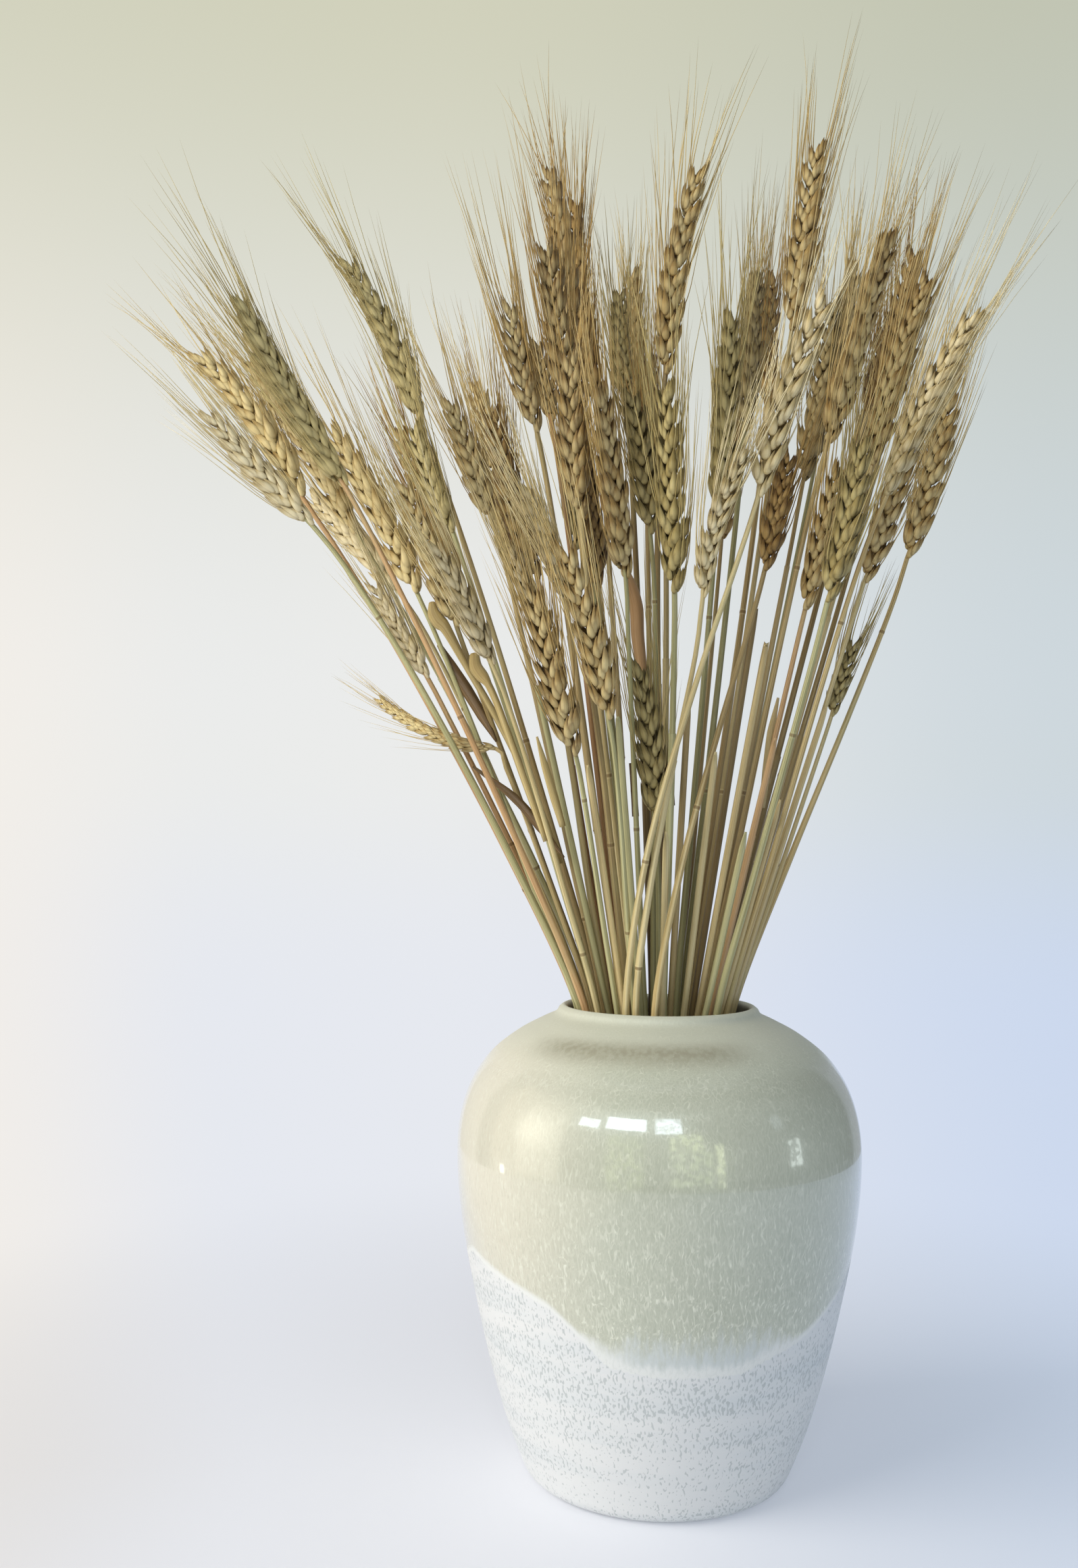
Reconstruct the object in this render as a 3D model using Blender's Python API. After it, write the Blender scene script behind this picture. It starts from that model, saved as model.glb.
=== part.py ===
"""A bunch of dried bearded wheat standing in a wide-shouldered stoneware vase.

The origin is the middle of the vase's underside, +Z is up, and the front faces -Y.
Driving dimensions are in millimetres; the meshes are written in metres.
"""
import math
import random

import bpy
import numpy as np

MM = 0.001

# Vase: outer outline as (radius, height), from the edge of the foot up to the lip.
VASE_OUTLINE = [(58, 0), (62.5, 3), (66, 10), (72.5, 27), (80, 52), (88, 86), (94.5, 120), (97, 148),
                (95.8, 168), (90.5, 185), (81.5, 198), (69, 208), (57.5, 214.3), (50.2, 217.8)]
VASE_HEIGHT = 222
MOUTH_RADIUS = 43.5
LIP_THICKNESS = 5
WALL = 6
FLOOR = 9
VASE_SIDES = 32

# Straw and ears.
STRAW_RADIUS = 2.15
NECK_RADIUS = 1.15
STRAW_SIDES = 5
EAR_WIDTH = 14.5
EAR_DEPTH = 11
SPIKELET_PITCH = 12
AWN_LENGTH = 68
AWN_RADIUS = 0.65
MOST_AWNS = 11
MOST_LEAN = 0.34
CLEARANCE = 0.5
AWN_CLEARANCE = 0.35
AWN_TRIES = 18
# Where an awn grows from its spikelet: how far up and how wide, and how far it passes the ones above.
AWN_ROOT_RISE = 1.0
AWN_ROOT_WIDTH = 0.75
AWN_PASS = 1.2

# Cross-section of an ear in halves of its width and depth; columns 5, 0 and 1 are one row of
# spikelets, 2, 3 and 4 the other. A side and a face are drawn in by these shares between spikelets.
EAR_SECTION = ((1, 0), (0.6, 1), (-0.6, 1), (-1, 0), (-0.6, -1), (0.6, -1))
RIGHT_COLUMNS = (5, 0, 1)
SIDE_DRAWN_IN = 0.6
FACE_DRAWN_IN = 0.72
SPIKELET_LIFT = 0.55
EAR_BASE_SHARE = 0.55
EAR_POINT = 5
# Room kept round an ear, as shares of its width at its start, middle and end.
EAR_ROOM = (0.42, 0.5, 0.34)

# Ears are placed as they are seen from here against the upright plane through the vase's axis.
EYE = (-59, -726, 308)

# One row for each stalk: where the ear starts (across, up) and where it ends (across, up) on that
# plane, how far behind the plane (+) or in front of it (-) the start and the end are, and the look.
STALKS = [
    (-171, 455, -218, 504, -22, -35, "pale"),
    (-176, 469, -223, 534, 6, 12, "gold"),
    (-155, 474, -204, 557, -28, -42, "green"),
    (-149, 451, -200, 530, 26, 34, "gold"),
    (-119, 422, -157, 495, 4, 10, "gold"),
    (-130, 424, -167, 465, 34, 56, "pale"),
    (-115, 380, -138, 421, 8, 14, "pale"),
    (-119, 507, -152, 580, 12, 8, "green"),
    (-102, 452, -119, 498, -32, -44, "green"),
    (-99, 431, -127, 497, 42, 64, "brown"),
    (-101, 405, -124, 469, -4, -8, "gold"),
    (-82, 387, -108, 439, -42, -62, "pale"),
    (-83, 458, -102, 510, -12, -14, "gold"),
    (-60, 429, -82, 505, 30, 52, "brown"),
    (-41, 343, -60, 416, -56, -78, "gold"),
    (-25, 361, -45, 437, -76, -100, "gold"),
    (-55, 395, -71, 439, -22, -32, "pale"),
    (-61, 502, -74, 558, -34, -50, "gold"),
    (-54, 507, -61, 541, 34, 44, "gold"),
    (-45, 549, -55, 627, 20, 30, "gold"),
    (-47, 519, -56, 588, -16, -22, "gold"),
    (-32, 516, -43, 610, 62, 86, "brown"),
    (-17, 430, -29, 516, -50, -66, "gold"),
    (-17, 519, -21, 566, 60, 80, "green"),
    (-5, 452, -14, 514, -28, -42, "green"),
    (2, 531, 16, 626, -18, -30, "gold"),
    (7, 423, 3, 516, -62, -86, "green"),
    (1, 471, -6, 532, 36, 52, "brown"),
    (-2, 311, -12, 379, -30, -40, "green"),
    (28, 463, 34, 551, -24, -34, "green"),
    (41, 503, 46, 575, 30, 42, "grey"),
    (52, 516, 54, 573, 64, 90, "brown"),
    (64, 553, 76, 638, 6, 12, "gold"),
    (46, 471, 77, 561, -80, -106, "pale"),
    (82, 498, 110, 593, -34, -44, "gold"),
    (70, 479, 84, 560, 22, 36, "grey"),
    (101, 513, 112, 557, 48, 62, "brown"),
    (104, 487, 129, 573, -14, -20, "gold"),
    (111, 510, 123, 586, 32, 46, "brown"),
    (111, 472, 150, 554, -44, -58, "pale"),
    (121, 441, 143, 530, 26, 40, "gold"),
    (100, 429, 122, 498, -8, -14, "gold"),
    (71, 415, 86, 478, -38, -48, "gold"),
    (82, 419, 98, 490, -64, -80, "green"),
    (51, 434, 62, 486, -20, -14, "brown"),
    (31, 421, 40, 486, -68, -88, "pale"),
    (84, 363, 94, 395, 12, 14, "green"),
    (-80, 346, -135, 368, -8, 16, "gold"),
    (-43, 417, -64, 467, -66, -88, "pale"),
    (-39, 459, -44, 534, -44, -56, "gold"),
    (-32, 423, -39, 499, -2, 2, "brown"),
    (-42, 444, -46, 516, 50, 70, "green"),
    (79, 503, 94, 582, 72, 100, "gold"),
    (-76, 440, -90, 520, 76, 108, "gold"),
    (-8, 490, -14, 575, 88, 122, "gold"),
    (30, 450, 36, 530, 82, 118, "brown"),
    (88, 440, 104, 515, 72, 100, "gold"),
]
# Straws that cross in front of the bunch enter the mouth here, by row number: (x, y).
MOUTH_PLACES = {33: (-17, -38), 45: (-12, -36.5), 44: (-7, -38)}
# How far down its straw an ear's lean reaches, as a share of the straw; others use EAR_LEAN.
EAR_LEAN = 0.5
SHARP_NECKS = {47: 0.10}
# How far the middle of an ear lies off the straight line, across and up; others get a slight bow.
EAR_BOWS = {47: (0, -5), 7: (3, 1), 25: (-3, 0), 33: (-2, 1), 1: (4, 1)}
BOW = 0.025
# Ears that are slimmer than others of their length, by row number.
SLIM_EARS = {47: 0.6, 46: 0.85, 45: 0.85, 6: 0.8}

# Heights of the route's knots inside the vase, and how the bunch turns and narrows down there.
INNER_HEIGHTS = (FLOOR + 0.6, 108, 178, VASE_HEIGHT + 2)
INNER_SCALE = (1.05, 0.74, 0.8, 1.0)
INNER_TURN = (44, 22, 6, 0)
INNER_REACH = (49, 60, 38, MOUTH_RADIUS - STRAW_RADIUS * 1.15 - 0.5)
FAN_APEX = 112
STRAW_KNOTS = (0.28, 0.55, 0.8)
EAR_START = len(INNER_HEIGHTS) + len(STRAW_KNOTS)
MOUTH_SPACING = 7.0
# Shares in which a straw leaves the mouth along the fan and straight towards its ear.
FAN_PULL = 0.6
ROUNDS = 260
SETTLING_SHARE = 0.75
PAIR_MARGIN = 24

# Start of the random draws for each thing that varies from stalk to stalk.
SEEDS = {"bow": 100, "turn": 300, "thickness": 500, "width": 700, "awns": 900}
MOST_TURN = 48

LOOKS = {
    "gold": (0.56, 0.42, 0.20),
    "pale": (0.68, 0.57, 0.34),
    "green": (0.45, 0.42, 0.22),
    "brown": (0.42, 0.29, 0.12),
    "grey": (0.46, 0.37, 0.22),
}
GLAZE = (0.60, 0.60, 0.49)


def clear_scene():
    for thing in list(bpy.data.objects):
        bpy.data.objects.remove(thing, do_unlink=True)


def finish(name, colour, roughness):
    material = bpy.data.materials.new(name)
    material.use_nodes = True
    shader = material.node_tree.nodes["Principled BSDF"]
    shader.inputs["Base Color"].default_value = (*colour, 1)
    shader.inputs["Roughness"].default_value = roughness
    shader.inputs["Metallic"].default_value = 0
    return material


def add_object(name, points, faces, material):
    mesh = bpy.data.meshes.new(name)
    mesh.from_pydata([tuple(float(c) * MM for c in p) for p in points], [], faces)
    mesh.materials.append(material)
    mesh.shade_smooth()
    mesh.set_sharp_from_angle(angle=math.radians(40))
    thing = bpy.data.objects.new(name, mesh)
    bpy.context.scene.collection.objects.link(thing)
    return thing


def vase_profile():
    """(radius, height) from the middle of the underside, up the outside, over the lip and down inside."""
    crest = MOUTH_RADIUS + LIP_THICKNESS / 2
    lip = [(MOUTH_RADIUS + LIP_THICKNESS, VASE_HEIGHT - 2), (crest, VASE_HEIGHT),
           (MOUTH_RADIUS, VASE_HEIGHT - 2), (MOUTH_RADIUS, VASE_HEIGHT - 9)]
    inside = [(r - WALL, z - WALL * 0.4) for r, z in reversed(VASE_OUTLINE[3:12:2])]
    floor = [(VASE_OUTLINE[2][0] - WALL, FLOOR + 6), (VASE_OUTLINE[0][0] - WALL, FLOOR)]
    return [(0, 0)] + VASE_OUTLINE + lip + inside + floor + [(0, FLOOR)]


def turn_profile(profile, sides):
    """Points and triangles of a profile turned about Z; its first and last points are on the axis."""
    points = [(0, 0, profile[0][1])]
    for radius, height in profile[1:-1]:
        for side in range(sides):
            angle = 2 * math.pi * side / sides
            points.append((radius * math.cos(angle), radius * math.sin(angle), height))
    points.append((0, 0, profile[-1][1]))
    rings = [list(range(1 + r * sides, 1 + (r + 1) * sides)) for r in range(len(profile) - 2)]
    faces = [(0, rings[0][(s + 1) % sides], rings[0][s]) for s in range(sides)]
    for low, high in zip(rings, rings[1:]):
        faces += join_rings(low, high)
    top = len(points) - 1
    return points, faces + [(top, rings[-1][s], rings[-1][(s + 1) % sides]) for s in range(sides)]


def join_rings(low, high):
    """Triangles between two rings that may have different numbers of points."""
    faces, i, j = [], 0, 0
    while i < len(low) or j < len(high):
        a, b = low[i % len(low)], high[j % len(high)]
        if (i + 1) / len(low) <= (j + 1) / len(high) and i < len(low):
            i += 1
            faces.append((a, low[i % len(low)], b))
        else:
            j += 1
            faces.append((a, high[j % len(high)], b))
    return faces


def draw_for(what, row):
    return random.Random(SEEDS[what] + row)


def on_sight_line(across, up, depth):
    """The point at this depth that is seen at (across, up) on the plane through the vase's axis."""
    reach = (depth - EYE[1]) / -EYE[1]
    return np.array([EYE[0] + (across - EYE[0]) * reach, depth, EYE[2] + (up - EYE[2]) * reach])


def within(point, reach):
    """The same direction from the axis, no further out than reach."""
    distance = max(np.linalg.norm(point), 1e-6)
    return point * min(1, reach / distance)


def spread_mouth(places):
    """Moves the straws' places in the mouth apart until they have their spacing."""
    places = np.array(places, float)
    for _ in range(200):
        offset = places[:, None] - places[None]
        distance = np.linalg.norm(offset, axis=2) + np.eye(len(places)) * 1e3
        lack = np.clip(MOUTH_SPACING - distance, 0, None)
        places += 0.35 * (offset / distance[..., None] * lack[..., None]).sum(axis=1)
        places = np.array([within(p, INNER_REACH[3]) for p in places])
    return places


def turned(place, degrees, scale):
    angle = math.radians(degrees)
    x, y = place
    return np.array([x * math.cos(angle) - y * math.sin(angle),
                     x * math.sin(angle) + y * math.cos(angle)]) * scale


def first_routes():
    """Knots of every stalk: inside the vase, up the straw, then ear start, middle and end."""
    ears = [(on_sight_line(a, b, e), on_sight_line(c, d, f)) for a, b, c, d, e, f, _ in STALKS]
    mouth_height = INNER_HEIGHTS[3]
    wanted = [within(start[:2] / (start[2] - FAN_APEX) * (mouth_height - FAN_APEX), INNER_REACH[3] - 1)
              for start, _ in ears]
    for row, place in MOUTH_PLACES.items():
        wanted[row] = np.array(place, float)
    routes = []
    for row, (place, (start, end)) in enumerate(zip(spread_mouth(wanted), ears)):
        knots = [np.append(within(turned(place, turn, scale), reach), height) for turn, scale, reach, height
                 in zip(INNER_TURN, INNER_SCALE, INNER_REACH, INNER_HEIGHTS)]
        mouth = knots[-1]
        span = np.linalg.norm(start - mouth)
        fan = np.array([place[0], place[1], mouth_height - FAN_APEX])
        leave = fan / np.linalg.norm(fan) * span * FAN_PULL + (start - mouth) * (1 - FAN_PULL)
        arrive = (end - start) / np.linalg.norm(end - start) * span * SHARP_NECKS.get(row, EAR_LEAN)
        for t in STRAW_KNOTS:
            knots.append((2 * t ** 3 - 3 * t ** 2 + 1) * mouth + (t ** 3 - 2 * t ** 2 + t) * leave
                         + (3 * t ** 2 - 2 * t ** 3) * start + (t ** 3 - t ** 2) * arrive)
        routes.append(knots + [start, ear_middle(row, start, end), end])
    return np.array(routes)


def ear_middle(row, start, end):
    draw = draw_for("bow", row)
    slack = BOW * np.linalg.norm(end - start)
    across, up = EAR_BOWS.get(row, (draw.uniform(-slack, slack), 0))
    return (start + end) / 2 + (across, draw.uniform(-slack, slack), up)


def knot_radii(routes):
    """How much room each knot of a stalk needs: straw below, ear above."""
    radii = np.zeros(routes.shape[:2])
    for row, radius in enumerate(radii):
        radius[:EAR_START] = np.linspace(STRAW_RADIUS, NECK_RADIUS, EAR_START) * thickness(row)
        width = ear_width(row, np.linalg.norm(routes[row, -1] - routes[row, EAR_START]))
        radius[EAR_START:] = np.array(EAR_ROOM) * width
    return radii


def thickness(row):
    return draw_for("thickness", row).uniform(0.86, 1.12)


def ear_width(row, length):
    share = min(1.0, 0.62 + 0.38 * length / 80) * draw_for("width", row).uniform(0.94, 1.06)
    return EAR_WIDTH * share * SLIM_EARS.get(row, 1)


def nearest(a, b, c, d):
    """Shares along the segments a-b and c-d of their nearest points."""
    first, second, between = b - a, d - c, a - c
    aa = (first * first).sum(-1)
    bb = (second * second).sum(-1)
    ab = (first * second).sum(-1)
    ac = (first * between).sum(-1)
    bc = (second * between).sum(-1)
    s = np.clip((ab * bc - ac * bb) / np.maximum(aa * bb - ab * ab, 1e-9), 0, 1)
    t = np.clip((ab * s + bc) / bb, 0, 1)
    return np.clip((ab * t - ac) / aa, 0, 1), t


def close_pairs(routes, margin):
    """Index rows (stalk, segment, stalk, segment) of segments of two stalks that come near."""
    count, knots = routes.shape[:2]
    middle = (routes[:, 1:] + routes[:, :-1]).reshape(-1, 3) / 2
    half = np.linalg.norm(routes[:, 1:] - routes[:, :-1], axis=2).reshape(-1) / 2
    owner, segment = np.divmod(np.arange(count * (knots - 1)), knots - 1)
    first, second = np.triu_indices(len(middle), 1)
    reach = half[first] + half[second] + margin
    near = (np.linalg.norm(middle[first] - middle[second], axis=1) < reach) & (owner[first] != owner[second])
    first, second = first[near], second[near]
    return owner[first], segment[first], owner[second], segment[second]


def clear_routes(routes, radii):
    """Bends the stalks apart, as they lie in a real bunch, until none touches another."""
    start = routes.copy()
    for turn in range(ROUNDS):
        if turn % 10 == 0:
            i, p, j, q = close_pairs(routes, PAIR_MARGIN)
        s, t = nearest(routes[i, p], routes[i, p + 1], routes[j, q], routes[j, q + 1])
        s, t = s[:, None], t[:, None]
        apart = (routes[i, p] * (1 - s) + routes[i, p + 1] * s
                 - routes[j, q] * (1 - t) - routes[j, q + 1] * t)
        distance = np.linalg.norm(apart, axis=1, keepdims=True)
        need = (np.maximum(radii[i, p], radii[i, p + 1]) + np.maximum(radii[j, q], radii[j, q + 1])
                + CLEARANCE)
        lack = np.clip(need[:, None] * 1.02 - distance, 0, None)
        level = apart * (1, 1, 0) + (0, 1e-4, 0)
        push = level / np.linalg.norm(level, axis=1, keepdims=True) * lack * 0.5
        moved, hits = np.zeros_like(routes), np.zeros(routes.shape[:2])
        for stalk, knot, share, sign in ((i, p, s, 1), (j, q, t, -1)):
            spread = (1 - share) ** 2 + share ** 2
            for step, weight in ((0, 1 - share), (1, share)):
                np.add.at(moved, (stalk, knot + step), sign * push * weight / spread)
                np.add.at(hits, (stalk, knot + step), (lack * weight > 0)[:, 0])
        routes = routes + moved / np.maximum(hits, 1)[..., None] ** 0.6
        if turn < ROUNDS * SETTLING_SHARE:
            shift = routes - start
            shift[:, 1:EAR_START] += 0.25 * ((shift[:, :EAR_START - 1] + shift[:, 2:EAR_START + 1]) / 2
                                             - shift[:, 1:EAR_START])
            shift[:, EAR_START:] *= 0.97
            routes = start + shift
        routes[:, :len(INNER_HEIGHTS), 2] = INNER_HEIGHTS
        for knot, reach in enumerate(INNER_REACH):
            away = np.linalg.norm(routes[:, knot, :2], axis=1, keepdims=True)
            routes[:, knot, :2] *= np.minimum(1, reach / np.maximum(away, 1e-6))
    return routes


def cross_axes(along, turn):
    """Two directions across a stalk: its broad side, turned about the stalk, and its face."""
    along = along / np.linalg.norm(along)
    side = np.cross((0, 1, 0), along)
    side /= np.linalg.norm(side)
    face = np.cross(along, side)
    return (math.cos(turn) * side + math.sin(turn) * face,
            math.cos(turn) * face - math.sin(turn) * side)


def ring_points(centre, along, turn, ring):
    side, face = cross_axes(along, turn)
    return [centre + side * x + face * y for x, y in ring]


def straw_rings(row, route, turn):
    """Rings of the straw from its cut end in the vase up to the neck."""
    knots = route[:EAR_START + 1]
    rings = []
    for knot in range(EAR_START):
        along = knots[knot + 1] - knots[max(knot - 1, 0)]
        radius = (STRAW_RADIUS + (NECK_RADIUS - STRAW_RADIUS) * knot / EAR_START) * thickness(row)
        ring = [(radius * math.cos(a), radius * math.sin(a))
                for a in (2 * math.pi * side / STRAW_SIDES for side in range(STRAW_SIDES))]
        rings.append(ring_points(knots[knot], along, turn, ring))
    return rings


def ear_swell(t):
    """Share of the ear's full width at t, from its start (0) to its end (1)."""
    return min(1, 0.5 + 2.2 * t) * (1 - 0.5 * t ** 2.2)


def ear_rings(row, route, turn):
    """Six-cornered rings in which the two rows of spikelets stand out by turns."""
    start, middle, end = route[EAR_START:]
    length = np.linalg.norm(end - start)
    width = ear_width(row, length)
    depth = width * EAR_DEPTH / EAR_WIDTH
    count = 2 * max(2, round(length / SPIKELET_PITCH))
    rings, outer = [], []
    for j in range(count + 1):
        t = max(0, (j - 0.45) / (count - 0.45))
        centre = start * (1 - t) * (1 - 2 * t) + middle * 4 * t * (1 - t) + end * t * (2 * t - 1)
        along = (end - start) + (start - 2 * middle + end) * (2 * t - 1) * 2
        along /= np.linalg.norm(along)
        lift = along * length / count * SPIKELET_LIFT
        points = []
        swell = ear_swell(t) * (EAR_BASE_SHARE if j == 0 else 1)
        for column, (x, y) in enumerate(EAR_SECTION):
            stands_out = (column in RIGHT_COLUMNS) == (j % 2 == 1)
            share = swell * (1 if stands_out else SIDE_DRAWN_IN if y == 0 else FACE_DRAWN_IN)
            point = ring_points(centre, along, turn, [(x * width / 2 * share, y * depth / 2 * share)])[0]
            points.append(point + lift * stands_out * (0 < j < count))
            if y == 0 and stands_out and 0 < j < count:
                outer.append((j, column, along))
        rings.append(points)
    return rings, outer, end + along * EAR_POINT


class Awns:
    """Places each awn clear of the other stalks and of the awns placed before it."""

    def __init__(self, routes, radii):
        self.starts = list(routes[:, :-1].reshape(-1, 3))
        self.ends = list(routes[:, 1:].reshape(-1, 3))
        thickest = np.maximum(radii[:, 1:], radii[:, :-1]).reshape(-1)
        self.radii = [(radius, radius) for radius in thickest]
        self.owners = list(np.repeat(np.arange(len(routes)), routes.shape[1] - 1))

    def is_clear(self, row, start, end):
        starts, ends, radii = np.array(self.starts), np.array(self.ends), np.array(self.radii)
        s, t = nearest(starts, ends, start[None], end[None])
        apart = starts + (ends - starts) * s[:, None] - start - (end - start) * t[:, None]
        gap = np.linalg.norm(apart, axis=1)
        need = radii[:, 0] * (1 - s) + radii[:, 1] * s + AWN_RADIUS * (1 - t) + AWN_CLEARANCE
        return bool((gap > need)[np.array(self.owners) != row].all())

    def place(self, row, root, directions, lean, draw):
        """The tip of an awn that grows from root, or None where there is no room."""
        axis, outward, face = directions
        for attempt in range(AWN_TRIES):
            length = AWN_LENGTH * draw.uniform(0.85, 1.12) * (1 - 0.035 * attempt)
            sideways = lean + draw.uniform(0.0, 0.06 + 0.012 * attempt)
            faceways = draw.uniform(-0.02 * attempt, 0.12 + 0.01 * attempt)
            tip = root + length * (axis + outward * sideways + face * faceways)
            if self.is_clear(row, root, tip):
                self.starts.append(root)
                self.ends.append(tip)
                self.radii.append((AWN_RADIUS, 0))
                self.owners.append(-1)
                return tip
        return None


def least_lean(rings, j, column, axis):
    """The least outward lean that carries an awn past the spikelets above it."""
    root = rings[j][column]
    lean = 0.06
    for above in range(j + 1, len(rings)):
        rise = (rings[above][column] - root) @ axis
        out = np.linalg.norm((rings[above][column] - root) - axis * rise)
        away = (rings[above][column] - root) @ (root - rings[j][(column + 3) % 6])
        if away > -1e-9:
            lean = max(lean, (out + AWN_PASS) / max(rise, 1))
    return lean


def build_stalk(row, route, awns, material):
    """One stalk as a single closed mesh: straw, ear and awns."""
    draw = draw_for("awns", row)
    turn = math.radians(draw_for("turn", row).uniform(-MOST_TURN, MOST_TURN))
    rings, outer, apex = ear_rings(row, route, turn)
    lower = straw_rings(row, route, turn)
    points, rows = [], []
    for ring in lower + rings:
        rows.append(list(range(len(points), len(points) + len(ring))))
        points += ring
    base = len(lower)
    grown = {}
    for j, column, axis in outer[-MOST_AWNS:]:
        root = rings[j][column]
        outward = root - rings[j][(column + 3) % 6]
        outward -= axis * (outward @ axis)
        outward /= np.linalg.norm(outward)
        face = np.cross(axis, outward) * (1 if j % 4 < 2 else -1)
        lean = least_lean(rings, j, column, axis)
        tip = awns.place(row, root, (axis, outward, face), lean, draw) if lean < MOST_LEAN else None
        if tip is not None:
            grown[(j, column)] = tip
    faces = [tuple(reversed(rows[0]))]
    for low, high in zip(rows[:base + 1], rows[1:base + 1]):
        faces += join_rings(low, high)
    for j in range(len(rings) - 1):
        faces += ear_band(points, rows[base + j], rows[base + j + 1], j, grown)
    points.append(apex)
    top = rows[-1]
    faces += [(top[k], top[(k + 1) % 6], len(points) - 1) for k in range(6)]
    return add_object(f"stalk_{row + 1:02d}", points, faces, material)


def ear_band(points, low, high, j, grown):
    """Triangles between two rings of an ear, with the awns that grow from the lower one."""
    faces = []
    for k in (5, 0, 1, 2, 3, 4):
        n = (k + 1) % 6
        a, b, c, d = low[k], low[n], high[n], high[k]
        if (j, n) in grown:
            p = add_near(points, b, c, a)
            faces += [(a, b, p), (a, p, d), (d, p, c)]
        elif (j, k) in grown:
            q = add_near(points, a, d, b)
            p = q - 1
            tip = len(points)
            points.append(grown[(j, k)])
            faces += [(a, b, q), (b, c, q), (q, c, d), (p, q, d)]
            faces += [(a, q, tip), (q, p, tip), (p, a, tip)]
        else:
            faces += [(a, b, c), (a, c, d)]
    return faces


def add_near(points, corner, upper, beside):
    """A point a little way from a corner towards the corner above and the one beside it."""
    up = points[upper] - points[corner]
    away = points[beside] - points[corner]
    points.append(points[corner] + up / np.linalg.norm(up) * AWN_ROOT_RISE
                  + away / np.linalg.norm(away) * AWN_ROOT_WIDTH)
    return len(points) - 1


def build():
    clear_scene()
    points, faces = turn_profile(vase_profile(), VASE_SIDES)
    add_object("vase", points, faces, finish("glaze", GLAZE, 0.22))
    looks = {look: finish("straw_" + look, colour, 0.6) for look, colour in LOOKS.items()}
    routes = first_routes()
    radii = knot_radii(routes)
    routes = clear_routes(routes, radii)
    awns = Awns(routes, radii)
    for row, route in enumerate(routes):
        build_stalk(row, route, awns, looks[STALKS[row][-1]])


build()
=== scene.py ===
import math
import random

import bpy
import numpy as np
from mathutils import Matrix, Vector


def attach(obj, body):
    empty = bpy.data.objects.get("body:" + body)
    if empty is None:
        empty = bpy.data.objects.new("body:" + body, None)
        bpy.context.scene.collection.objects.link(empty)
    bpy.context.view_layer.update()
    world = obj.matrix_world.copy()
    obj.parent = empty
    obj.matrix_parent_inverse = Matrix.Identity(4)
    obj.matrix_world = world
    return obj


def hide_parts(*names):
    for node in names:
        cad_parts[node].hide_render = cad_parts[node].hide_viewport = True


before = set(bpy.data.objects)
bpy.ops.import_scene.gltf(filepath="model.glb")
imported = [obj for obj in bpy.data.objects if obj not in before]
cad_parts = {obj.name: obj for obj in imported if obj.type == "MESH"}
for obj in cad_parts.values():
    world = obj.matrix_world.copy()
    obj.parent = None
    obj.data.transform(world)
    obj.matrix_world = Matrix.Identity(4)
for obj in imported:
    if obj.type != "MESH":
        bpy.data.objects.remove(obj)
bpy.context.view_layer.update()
mm = 0.001


# Routes of the stalks, in millimetres, the same as in the CAD

eye = (-59, -726, 308)  # ears are placed as seen from here against the upright plane through the vase's axis
strawRadius = 2.15
neckRadius = 1.15
earWidthFull = 14.5
clearance = 0.5
mouthRadius = 43.5
vaseHeight = 222

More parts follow.
